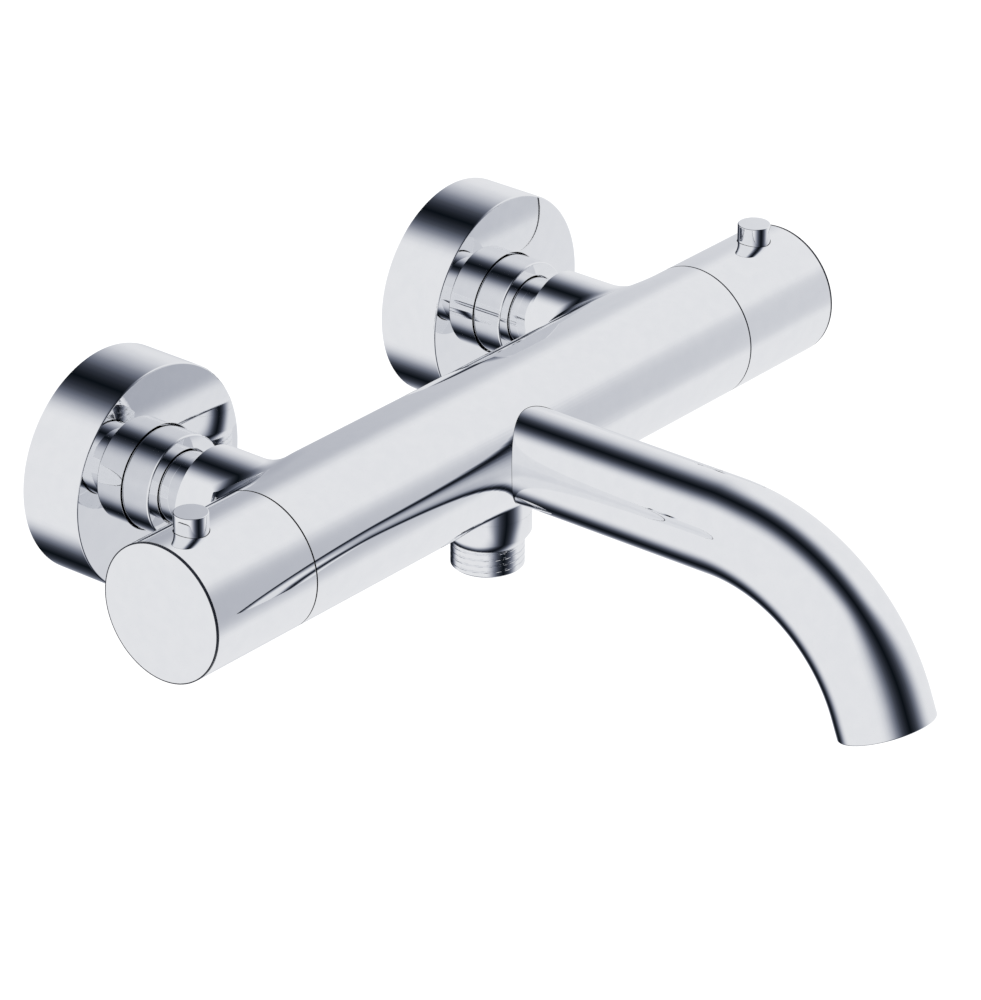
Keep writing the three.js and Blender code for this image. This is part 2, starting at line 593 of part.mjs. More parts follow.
// The concave skirt where a leg meets the body, solid down to the body axis.
function legSkirt(filletAt, ribbed) {
  const sides = MEDIUM_SIDES;
  const columns = [];
  for (let i = 0; i < sides; i++) {
    const angle = (2 * Math.PI * i) / sides;
    columns.push(filletColumn(angle, filletAt(angle), ribbed));
  }
  const positions = [];
  const top = new THREE.Vector3(0, AXIS_FROM_WALL - LEG_FACE_FROM_WALL - 6, 0);
  const bottom = new THREE.Vector3(0, 0, 0);
  const triangle = (a, b, c) => positions.push(...a.toArray(), ...b.toArray(), ...c.toArray());
  for (let i = 0; i < sides; i++) {
    const here = columns[i];
    const next = columns[(i + 1) % sides];
    triangle(top, here[0], next[0]);
    for (let j = 0; j < here.length - 1; j++) {
      triangle(here[j], here[j + 1], next[j + 1]);
      triangle(here[j], next[j + 1], next[j]);
    }
    triangle(bottom, next[next.length - 1], here[here.length - 1]);
  }
  const geometry = new THREE.BufferGeometry();
  geometry.setAttribute("position", new THREE.BufferAttribute(new Float32Array(positions), 3));
  return solid(geometry);
}

// The fillet's radius around a leg, held back where the body's end leaves it less room.
function outerFillet(angle) {
  const room = BODY_END - INLET_X - LEG_FILLET_END_MARGIN;
  const across = Math.max(Math.abs(Math.cos(angle)), 1e-6);
  return Math.min(LEG_FILLET, room / across - LEG_DIAMETER / 2);
}

// The thickened back between the legs, which carries the hot water across.
function backRib() {
  const shape = new THREE.Shape();
  const slope = Math.acos((BODY_RADIUS - RIB_DIAMETER / 2) / RIB_OFFSET);
  const steps = MEDIUM_SIDES / 2;
  shape.moveTo(0, -BODY_RADIUS * Math.sin(slope));
  for (let i = 0; i <= steps; i++) {
    const angle = THREE.MathUtils.lerp(-slope, slope, i / steps);
    const back = RIB_OFFSET + (RIB_DIAMETER / 2) * Math.cos(angle);
    shape.lineTo(back, (RIB_DIAMETER / 2) * Math.sin(angle));
  }
  shape.lineTo(BODY_RADIUS * Math.cos(slope), BODY_RADIUS * Math.sin(slope));
  shape.lineTo(0, BODY_RADIUS * Math.sin(slope));
  shape.closePath();
  const geometry = new THREE.ExtrudeGeometry(shape, { depth: INLET_SPACING, bevelEnabled: false });
  return solid(geometry.translate(0, 0, -INLET_X)).rotate([90, 0, 90]);
}

function bodyOutside() {
  const toBodyAxis = (shape, x) => shape.translate([x, -AXIS_FROM_WALL, 0]);
  let outside = along(rod(BODY_DIAMETER, -BODY_END, BODY_END, LARGE_SIDES), "x", 0, -AXIS_FROM_WALL, 0);
  outside = outside.add(toBodyAxis(backRib(), 0));
  const innerHalf = block(INLET_SPACING, 4 * BODY_DIAMETER, 4 * BODY_DIAMETER, 0, -AXIS_FROM_WALL, 0);
  for (const x of [-INLET_X, INLET_X]) {
    const leg = rod(LEG_DIAMETER, 0, AXIS_FROM_WALL - LEG_FACE_FROM_WALL, MEDIUM_SIDES);
    const ribSkirt = toBodyAxis(legSkirt(() => LEG_FILLET_AT_RIB, true), x).intersect(innerHalf);
    outside = outside.add(toBodyAxis(leg, x)).add(toBodyAxis(legSkirt(outerFillet, false), x)).add(ribSkirt);
  }
  const outletBoss = rod(OUTLET_NECK_DIAMETER, 0, OUTLET_SEAT_DROP, MEDIUM_SIDES);
  return outside.add(along(outletBoss, "down", 0, -AXIS_FROM_WALL, 0));
}

// A straight channel through the middle of the casting, parallel to the body axis.
function channel(diameter, fromX, toX, back, up) {
  return along(rod(diameter, fromX, toX, SMALL_SIDES), "x", 0, -AXIS_FROM_WALL + back, up);
}

function bodyHollows() {
  const onAxis = (shape, axis) => along(shape, axis, 0, -AXIS_FROM_WALL, 0);
  const chamber = (from, to) => onAxis(rod(CHAMBER_DIAMETER, from, to, MEDIUM_SIDES), "x");
  const flowFloor = -FLOW_CHAMBER_FLOOR;
  const channelStart = flowFloor - 1;
  const channelEnd = THERMOSTAT_CHAMBER_FLOOR + 1;
  const pastEnd = BODY_END + CUT_PAST;
  let hollows = chamber(-pastEnd, flowFloor).add(chamber(THERMOSTAT_CHAMBER_FLOOR, pastEnd));
  for (const x of [-INLET_X, INLET_X]) {
    const threadEnd = -LEG_FACE_FROM_WALL - TAIL_THREAD_LENGTH - GAP;
    const thread = rod(TAIL_DIAMETER + 2 * GAP, threadEnd, 0, MEDIUM_SIDES);
    const port = rod(LEG_PORT_BORE, -AXIS_FROM_WALL + CHAMBER_RADIUS / 2, -LEG_FACE_FROM_WALL, SMALL_SIDES);
    hollows = hollows.add(thread.translate([x, 0, 0])).add(port.translate([x, 0, 0]));
  }
  const mouth = AXIS_FROM_WALL + BODY_RADIUS + CUT_PAST;
  const socket = rod(SPOUT_DIAMETER + 2 * GAP, -mouth, -AXIS_FROM_WALL - SPOUT_SOCKET_FLOOR, LARGE_SIDES);
  const stubEnd = OUTLET_SEAT_DROP - OUTLET_STUB_LENGTH - GAP;
  const stub = rod(OUTLET_STUB_DIAMETER + 2 * GAP, stubEnd, OUTLET_END, MEDIUM_SIDES);
  const riser = rod(CHANNEL_DIAMETER, CHANNEL_OFFSET, OUTLET_END, SMALL_SIDES);
  return hollows
    .add(socket.translate([0, 0, SPOUT_LIFT]))
    .add(onAxis(stub.add(riser), "down"))
    .add(channel(CHANNEL_DIAMETER, channelStart, 0, -CHANNEL_OFFSET, 0))
    .add(channel(CHANNEL_DIAMETER, channelStart, 0, 0, -CHANNEL_OFFSET))
    .add(channel(MIXED_CHANNEL_DIAMETER, channelStart, channelEnd, 0, 0))
    .add(channel(CHANNEL_DIAMETER, channelStart, channelEnd, HOT_CHANNEL_OFFSET, HOT_CHANNEL_OFFSET));
}

function valveBody() {
  return piece("valve_body", chrome(), bodyOutside().subtract(bodyHollows()));
}

// ---- Spout ----

// The spout's centreline from its root: straight out, a bend, and a short straight tip. Its parameter
// counts stations, one straight, the bend's steps and one tip, so each step ends on a station.
class SpoutLine extends THREE.Curve {
  constructor(rootExtra, tipExtra) {
    super();
    this.rootExtra = rootExtra;
    this.tipExtra = tipExtra;
    this.stations = SPOUT_BEND_STEPS + 2;
  }
  getUtoTmapping(u) {
    return u;
  }
  getPoint(t, target = new THREE.Vector3()) {
    const station = t * this.stations;
    const turn = THREE.MathUtils.clamp((station - 1) / SPOUT_BEND_STEPS, 0, 1) * SPOUT_BEND_ANGLE;
    const length = SPOUT_STRAIGHT - SPOUT_ROOT + this.rootExtra;
    const straight = THREE.MathUtils.clamp(1 - station, 0, 1) * length;
    const tip = THREE.MathUtils.clamp(station - SPOUT_BEND_STEPS - 1, 0, 1) * (SPOUT_TIP + this.tipExtra);
    const out = SPOUT_STRAIGHT - straight + SPOUT_BEND_RADIUS * Math.sin(turn) + tip * Math.cos(turn);
    const down = SPOUT_BEND_RADIUS * (1 - Math.cos(turn)) + tip * Math.sin(turn);
    return target.set(0, -AXIS_FROM_WALL - out, SPOUT_LIFT - down);
  }
}

function spoutSweep(diameter, rootExtra, tipExtra) {
  const extrudePath = new SpoutLine(rootExtra, tipExtra);
  const shape = regularShape(diameter / 2, MEDIUM_SIDES);
  const steps = extrudePath.stations;
  return solid(new THREE.ExtrudeGeometry(shape, { steps, extrudePath, bevelEnabled: false }));
}

// A group whose local -Y runs out of the spout's mouth, with its origin at the mouth's centre.
function mouthGroup() {
  const group = new THREE.Group();
  group.position.copy(new SpoutLine(0, 0).getPoint(1));
  group.rotation.x = SPOUT_BEND_ANGLE;
  return group;
}

function aeratorInsert(outer, from, to) {
  let grid = rod(outer, from, to, MEDIUM_SIDES);
  const step = AERATOR_CELL + AERATOR_RIB;
  const reach = outer / 2 - AERATOR_RIB;
  const cell = block(AERATOR_CELL, to - from + CUT_PAST, AERATOR_CELL, 0, (from + to) / 2, 0);
  for (let i = -2; i <= 2; i++) {
    for (let j = -2; j <= 2; j++) {
      const cornerX = Math.abs(i) * step + AERATOR_CELL / 2;
      const cornerZ = Math.abs(j) * step + AERATOR_CELL / 2;
      if (Math.hypot(cornerX, cornerZ) > reach) continue;
      grid = grid.subtract(cell.translate([i * step, 0, j * step]));
    }
  }
  return grid;
}

function spoutAssembly() {
  const group = new THREE.Group();
  const bore = SPOUT_DIAMETER - 2 * SPOUT_WALL;
  const hollow = spoutSweep(bore, CUT_PAST, CUT_PAST);
  group.add(piece("spout_tube", chrome(), spoutSweep(SPOUT_DIAMETER, 0, 0).subtract(hollow)));

  const root = AXIS_FROM_WALL + SPOUT_ROOT;
  const outer = bore - 2 * GAP;
  const nipple = tube(outer, outer - 2 * SPOUT_NIPPLE_WALL, -root - SPOUT_NIPPLE_LENGTH, -root, MEDIUM_SIDES);
  const ringAt = -root - SPOUT_O_RING_FROM_ROOT;
  const grooveFloor = outer - 2 * SPOUT_GROOVE_DEPTH;
  const half = SPOUT_GROOVE_WIDTH / 2;
  const groove = tube(bore + CUT_PAST, grooveFloor, ringAt - half, ringAt + half, MEDIUM_SIDES);
  const seal = roundRing(grooveFloor + 2 * GAP, SPOUT_O_RING, ringAt, MEDIUM_SIDES);
  group.add(piece("spout_nipple", brass(), nipple.subtract(groove).translate([0, 0, SPOUT_LIFT])));
  group.add(piece("spout_o_ring", rubber(), seal.translate([0, 0, SPOUT_LIFT])));

  const mouth = mouthGroup();
  const housing = bore - 2 * GAP;
  const end = AERATOR_RECESS + AERATOR_LENGTH;
  const cartridge = housing - 2 * AERATOR_SHELL - 2 * GAP;
  const lipBore = cartridge / 2 - AERATOR_LIP_REACH;
  const lipTop = AERATOR_RECESS + AERATOR_LIP;
  const shell = [[cartridge / 2 + GAP, end], [housing / 2, end], [housing / 2, AERATOR_RECESS]];
  const opening = [[lipBore, AERATOR_RECESS], [lipBore, lipTop], [cartridge / 2 + GAP, lipTop]];
  const washerBore = housing - 2 * AERATOR_WASHER_WIDTH;
  const washer = tube(housing, washerBore, end + GAP, end + GAP + AERATOR_WASHER, MEDIUM_SIDES);
  mouth.add(piece("aerator_housing", chrome(), turned([...shell, ...opening], MEDIUM_SIDES)));
  mouth.add(piece("aerator_insert", greyPlastic(), aeratorInsert(cartridge, lipTop + GAP, end)));
  mouth.add(piece("aerator_washer", rubber(), washer));
  group.add(mouth);
  return group;
}

// ---- Shower outlet, about Z with local +Y pointing down from the body axis ----

function showerOutlet() {
  const group = new THREE.Group();
  group.position.y = -AXIS_FROM_WALL;
  group.rotation.x = -Math.PI / 2;
  const neck = OUTLET_NECK_DIAMETER / 2;
  const stub = OUTLET_STUB_DIAMETER / 2;
  const bore = OUTLET_BORE / 2;
  const seat = OUTLET_SEAT_DROP + GAP;
  const stubTop = seat - OUTLET_STUB_LENGTH;
  const bevelEnd = WALL_THREAD_DIAMETER / 2 + OUTLET_BEVEL_LAND;
  const upper = [[bore, stubTop], [stub, stubTop], [stub, seat], [neck, seat]];
  const bevel = [[neck, OUTLET_NECK_END], [bevelEnd, OUTLET_THREAD_START]];
  const thread = threadOutline(WALL_THREAD_DIAMETER, OUTLET_THREAD_START, OUTLET_END - OUTLET_THREAD_RELIEF);
  const end = [[WALL_THREAD_DIAMETER / 2 - THREAD_DEPTH, OUTLET_END], [bore, OUTLET_END]];
  const body = turned([...upper, ...bevel, ...thread, ...end], MEDIUM_SIDES);
  const grooveTop = seat - OUTLET_GROOVE_FROM_SEAT;
  const grooveEnd = grooveTop + OUTLET_GROOVE_WIDTH;
  const grooveFloor = OUTLET_STUB_DIAMETER - 2 * OUTLET_GROOVE_DEPTH;
  const groove = tube(OUTLET_STUB_DIAMETER + CUT_PAST, grooveFloor, grooveTop, grooveEnd, MEDIUM_SIDES);
  group.add(piece("shower_outlet", chrome(), body.subtract(groove)));
  const ring = roundRing(grooveFloor + GAP, OUTLET_O_RING, (grooveTop + grooveEnd) / 2, MEDIUM_SIDES);
  group.add(piece("shower_outlet_o_ring", rubber(), ring));
  return group;
}

// ---- Handles and valve cartridges, about the body axis with local +Y pointing out of the body ----

const HANDLE_INNER = BODY_DIAMETER - 2 * HANDLE_WALL;
const LEDGE_INNER_FACE = HANDLE_END - CAP_THICKNESS - GAP - CAP_LEDGE;
const BUTTON_Y = HANDLE_END - BUTTON_FROM_END;
const BUTTON_TOP = BODY_RADIUS + BUTTON_RISE;
const ADAPTER_OUTER = HANDLE_INNER - 2 * GAP;
const ADAPTER_SKIRT = 1.6;
const BUTTON_FLANGE_DIAMETER = BUTTON_DIAMETER + 1.4;
const FLANGE_SEAT = Math.sqrt((HANDLE_INNER / 2) ** 2 - (BUTTON_FLANGE_DIAMETER / 2) ** 2);
const BUTTON_FOOT = FLANGE_SEAT - GAP - BUTTON_FLANGE;
const BUTTON_FLOOR_TOP = BUTTON_FOOT - BUTTON_TRAVEL - GAP;
const BUTTON_FLOOR = 1;
const BUTTON_BORE = 5;
const TOOTH_OFFSET = 3.5; // towards the body from the button's axis
const STOP_RING_OUTER = 2 * (BUTTON_FLOOR_TOP - BUTTON_FLOOR - STOP_RING_CLEARANCE);
const STOP_RING_BORE = STOP_RING_OUTER - 2 * STOP_RING_WALL;
const HUB_DIAMETER = STOP_RING_BORE - 2 * TURN_GAP;
const TOOTH_TIP = STOP_RING_BORE / 2 + BUTTON_TRAVEL + 0.05;
const NECK_DIAMETER = HUB_DIAMETER; // cartridge neck, the same size as the adapter's hub
const NECK_END = BODY_END + CARTRIDGE_NECK;
const NUT_HEX_END = BODY_END + RETAINING_NUT_HEX;
const RING_START = NUT_HEX_END + GAP;
const WEB_OUTER_FACE = LEDGE_INNER_FACE - 4;
const WEB_THICKNESS = 1.8;
const WEB_INNER_FACE = WEB_OUTER_FACE - WEB_THICKNESS;
const RING_END = WEB_INNER_FACE - TURN_GAP;
const HUB_START = NECK_END + 3;
const SPINDLE_END = HUB_START + 11;
const FLANGE_OUTER_FACE = BODY_END - 8.5; // outer face of the flange that the retaining nut holds down
const FLANGE_THICKNESS = 2;
const CARTRIDGE_RADIUS = CHAMBER_RADIUS - GAP;

// A rod that stands up along Z through the handle at the button's place.
function upright(shape, offsetY = 0) {
  return along(shape, "z", 0, BUTTON_Y + offsetY, 0);
}

function handleShell() {
  const outer = BODY_RADIUS;
  const inner = HANDLE_INNER / 2;
  const rim = outer - CAP_RIM;
  const ledge = inner - CAP_LEDGE_REACH;
  const seat = HANDLE_END - CAP_THICKNESS - GAP;
  const outline = [[inner, HANDLE_START], [outer, HANDLE_START], [outer, HANDLE_END - HANDLE_EDGE]];
  const edge = [[outer - HANDLE_EDGE, HANDLE_END], [rim, HANDLE_END], [rim, seat]];
  const shelf = [[ledge, seat], [ledge, LEDGE_INNER_FACE], [inner, LEDGE_INNER_FACE]];
  const shell = turned([...outline, ...edge, ...shelf], LARGE_SIDES);
  const hole = rod(BUTTON_DIAMETER + 2 * TURN_GAP, 0, BODY_RADIUS + CUT_PAST, MEDIUM_SIDES);
  return shell.subtract(upright(hole));
}

function handleCap() {
  const face = BODY_RADIUS - CAP_RIM - GAP;
  const snap = HANDLE_INNER / 2 - CAP_LEDGE_REACH - GAP;
  const skirt = snap - CAP_SKIRT_WALL;
  const under = HANDLE_END - CAP_THICKNESS;
  const top = [[0, HANDLE_END], [face, HANDLE_END], [face, under], [snap, under], [snap, LEDGE_INNER_FACE]];
  return turned([...top, [skirt, LEDGE_INNER_FACE], [skirt, under], [0, under]], LARGE_SIDES);
}

// The plastic hub that carries the handle on the splined spindle, with a floor under the button's spring.
function handleAdapter() {
  const hub = rod(HUB_DIAMETER, HUB_START, WEB_OUTER_FACE, MEDIUM_SIDES);
  const web = rod(ADAPTER_OUTER, WEB_INNER_FACE, WEB_OUTER_FACE, MEDIUM_SIDES);
  const skirtInner = ADAPTER_OUTER - 2 * ADAPTER_SKIRT;
  const skirtStart = BUTTON_Y - BUTTON_DIAMETER;
  const skirt = tube(ADAPTER_OUTER, skirtInner, skirtStart, LEDGE_INNER_FACE - GAP, MEDIUM_SIDES);
  const floorMiddle = BUTTON_FLOOR_TOP - BUTTON_FLOOR / 2;
  const floorHalf = Math.sqrt((skirtInner / 2) ** 2 - BUTTON_FLOOR_TOP ** 2) + 0.8;
  const floorLength = WEB_INNER_FACE - skirtStart + 1;
  const floor = block(2 * floorHalf, floorLength, BUTTON_FLOOR, 0, skirtStart + floorLength / 2, floorMiddle);
  const well = rod(BUTTON_FLANGE_DIAMETER + 2 * TURN_GAP, BUTTON_FLOOR_TOP, BODY_RADIUS, MEDIUM_SIDES);
  const toothHole = rod(BUTTON_TOOTH_DIAMETER + 2 * TURN_GAP, BUTTON_FLOOR_TOP - 3, BODY_RADIUS, SMALL_SIDES);
  const star = starShape(SPINDLE_DIAMETER / 2 + GAP, SPLINE_DEPTH, SPLINE_TEETH);
  const splines = raised(star, HUB_START - 1, SPINDLE_END + GAP);
  const screwHole = rod(SCREW_DIAMETER + 2 * GAP, SPINDLE_END, WEB_OUTER_FACE + CUT_PAST, SMALL_SIDES);
  return hub
    .add(web)
    .add(skirt)
    .add(floor)
    .subtract(upright(well))
    .subtract(upright(toothHole, -TOOTH_OFFSET))
    .subtract(splines)
    .subtract(screwHole);
}

function handleScrew() {
  const seat = WEB_OUTER_FACE + GAP;
  const head = rod(SCREW_HEAD_DIAMETER, seat, seat + SCREW_HEAD, SMALL_SIDES);
  const shank = rod(SCREW_DIAMETER, SPINDLE_END - SCREW_SHANK_IN_SPINDLE, seat + 1, SMALL_SIDES);
  const hexagon = regularShape(SCREW_SOCKET_RADIUS, 6);
  const socket = raised(hexagon, seat + SCREW_SOCKET_FLOOR, seat + SCREW_HEAD + CUT_PAST);
  return head.add(shank).subtract(socket);
}

function stopButton() {
  const radius = BUTTON_DIAMETER / 2;
  const flange = BUTTON_FLANGE_DIAMETER / 2;
  const ceiling = BUTTON_TOP - BUTTON_TOP_WALL;
  const top = [[0, BUTTON_TOP], [radius - BUTTON_EDGE, BUTTON_TOP], [radius, BUTTON_TOP - BUTTON_EDGE]];
  const flangeTop = BUTTON_FOOT + BUTTON_FLANGE;
  const foot = [[radius, flangeTop], [flange, flangeTop], [flange, BUTTON_FOOT]];
  const hollow = [[BUTTON_BORE / 2, BUTTON_FOOT], [BUTTON_BORE / 2, ceiling], [0, ceiling]];
  const tooth = rod(BUTTON_TOOTH_DIAMETER, TOOTH_TIP, BUTTON_FOOT + 1, SMALL_SIDES);
  return upright(turned([...top, ...foot, ...hollow], MEDIUM_SIDES)).add(upright(tooth, -TOOTH_OFFSET));
}

function buttonSpring() {
  const top = BUTTON_TOP - BUTTON_TOP_WALL - COIL_GAP;
  return upright(coil(BUTTON_SPRING_DIAMETER, BUTTON_SPRING_WIRE, BUTTON_FLOOR_TOP + COIL_GAP, top, 5));
}

// A fixed sleeve on the cartridge's neck. The button's tooth runs in its slot, whose ends stop the handle.
function stopRing(turnTowardsX, turnAwayFromX) {
  const ring = tube(STOP_RING_OUTER, STOP_RING_BORE, RING_START, RING_END, MEDIUM_SIDES);
  const toothAngle = (BUTTON_TOOTH_DIAMETER / 2 + TURN_GAP) / (STOP_RING_BORE / 2) + 0.03;
  const half = BUTTON_TOOTH_DIAMETER / 2 + TURN_GAP;
  const middle = BUTTON_Y - TOOTH_OFFSET;
  const top = Math.PI / 2;
  const from = top - turnTowardsX - toothAngle;
  const to = top + turnAwayFromX + toothAngle;
  return ring.subtract(sector(STOP_RING_OUTER, from, to, middle - half, middle + half));
}

function retainingNut() {
  const bore = NECK_DIAMETER / 2 + TURN_GAP;
  const thread = tube(2 * CARTRIDGE_RADIUS, 2 * bore, FLANGE_OUTER_FACE + GAP, BODY_END, MEDIUM_SIDES);
  const hex = raised(regularShape(CARTRIDGE_RADIUS - 1.5, 6), BODY_END - 0.5, NUT_HEX_END);
  const hole = rod(2 * bore, BODY_END - CUT_PAST, NUT_HEX_END + CUT_PAST, MEDIUM_SIDES);
  return thread.add(hex.subtract(hole));
}

// A spindle with a round plate at its inner end, a plain shaft and a splined, drilled outer end.
function spindle(plateDiameter, plateFrom, plateTo) {
  const plate = rod(plateDiameter, plateFrom, plateTo, MEDIUM_SIDES);
  const core = SPINDLE_DIAMETER - 2 * SPLINE_DEPTH;
  const shaft = rod(core, plateFrom, HUB_START + 0.5, SMALL_SIDES);
  const splines = raised(starShape(SPINDLE_DIAMETER / 2, SPLINE_DEPTH, SPLINE_TEETH), HUB_START, SPINDLE_END);
  const tappedEnd = SPINDLE_END - SPINDLE_TAPPED_DEPTH;
  const tapped = rod(SCREW_DIAMETER + 2 * GAP, tappedEnd, SPINDLE_END + CUT_PAST, SMALL_SIDES);
  return plate.add(shaft).add(splines).subtract(tapped);
}

function handleTrain(prefix, ring, innerParts) {
  const group = new THREE.Group();
  group.add(piece(prefix + "_handle", chrome(), handleShell()));
  group.add(piece(prefix + "_handle_cap", chrome(), handleCap()));
  group.add(piece(prefix + "_handle_adapter", whitePlastic(), handleAdapter()));
  group.add(piece(prefix + "_handle_screw", steel(), handleScrew()));
  group.add(piece(prefix + "_stop_button", chrome(), stopButton()));
  group.add(piece(prefix + "_button_spring", steel(), buttonSpring()));
  group.add(piece(prefix + "_stop_ring", greyPlastic(), ring));
  group.add(piece(prefix + "_retaining_nut", brass(), retainingNut()));
  innerParts.forEach((part) => group.add(part));
  group.position.y = -AXIS_FROM_WALL;
  return group;
}

// The flow cartridge's ports, at the casting's own channels. Local +X is the room side on the right
// handle and the wall side on the left one, so the flow cartridge's spout port lies at -X.
function portDrills(diameter, from, to, withHot) {
  const bit = rod(diameter, from - CUT_PAST, to + CUT_PAST, SMALL_SIDES);
  const drill = (across, up) => bit.translate([across, 0, up]);
  const ports = drill(0, 0).add(drill(-CHANNEL_OFFSET, 0)).add(drill(0, -CHANNEL_OFFSET));
  return withHot ? ports.add(drill(HOT_CHANNEL_OFFSET, HOT_CHANNEL_OFFSET)) : ports;
}

function flowCartridge() {
  const floor = FLOW_CHAMBER_FLOOR;
  const port = CHANNEL_DIAMETER - PORT_STEP;
  const gasketTop = floor + GAP + GASKET_THICKNESS;
  const baseStart = gasketTop + GAP;
  const plateEnd = baseStart + FLOW_HOUSING_FOOT;
  const discSeat = baseStart + DISC_SEAT_HEIGHT;
  const outer = CARTRIDGE_RADIUS - CARTRIDGE_WAIST;
  const bore = outer - FLOW_HOUSING_WALL;
  const disc = 2 * (bore - GAP);
  const turningDisc = discSeat + GAP + DISC_THICKNESS + GAP;
  const turningDiscEnd = turningDisc + DISC_THICKNESS;
  const plateFrom = turningDiscEnd + GAP;
  const neckBore = SPINDLE_DIAMETER / 2 + TURN_GAP;
  const flangeBack = FLANGE_OUTER_FACE - FLANGE_THICKNESS;
  const rim = CARTRIDGE_RADIUS;
  const lower = [[0, baseStart], [rim, baseStart], [rim, plateEnd], [outer, plateEnd]];
  const upper = [[outer, flangeBack], [CARTRIDGE_RADIUS, flangeBack], [CARTRIDGE_RADIUS, FLANGE_OUTER_FACE]];
  const neck = [[NECK_DIAMETER / 2, FLANGE_OUTER_FACE], [NECK_DIAMETER / 2, NECK_END], [neckBore, NECK_END]];
  const inside = [[neckBore, flangeBack], [bore, flangeBack], [bore, discSeat], [0, discSeat]];
  const hotPort = rod(port, baseStart - 1, plateEnd, SMALL_SIDES);
  const housing = turned([...lower, ...upper, ...neck, ...inside], INNER_SIDES)
    .subtract(portDrills(port, baseStart, discSeat, false))
    .subtract(hotPort.translate([HOT_CHANNEL_OFFSET, 0, HOT_CHANNEL_OFFSET]));
  const gasket = rod(2 * CARTRIDGE_RADIUS, floor + GAP, gasketTop, INNER_SIDES)
    .subtract(portDrills(port, floor, gasketTop, true));
  const fixed = rod(disc, discSeat + GAP, discSeat + GAP + DISC_THICKNESS, INNER_SIDES)
    .subtract(portDrills(port, discSeat, turningDisc, false));
  const margin = THREE.MathUtils.degToRad(5);
  const slotRadius = bore - TURNING_DISC_RIM;
  const slot = sector(slotRadius, -margin, Math.PI / 2 + margin, turningDisc - 1, turningDiscEnd + 1);
  const centreHole = rod(port, turningDisc - 1, turningDiscEnd + 1, SMALL_SIDES);
  const turning = rod(disc, turningDisc, turningDiscEnd, INNER_SIDES).subtract(slot).subtract(centreHole);
  return [
    piece("flow_cartridge_gasket", rubber(), gasket),
    piece("flow_cartridge_housing", greyPlastic(), housing),
    piece("flow_fixed_disc", ceramic(), fixed),
    piece("flow_turning_disc", ceramic(), turning),
    piece("flow_spindle", brass(), spindle(disc - 1, plateFrom, plateFrom + 3)),
  ];
}

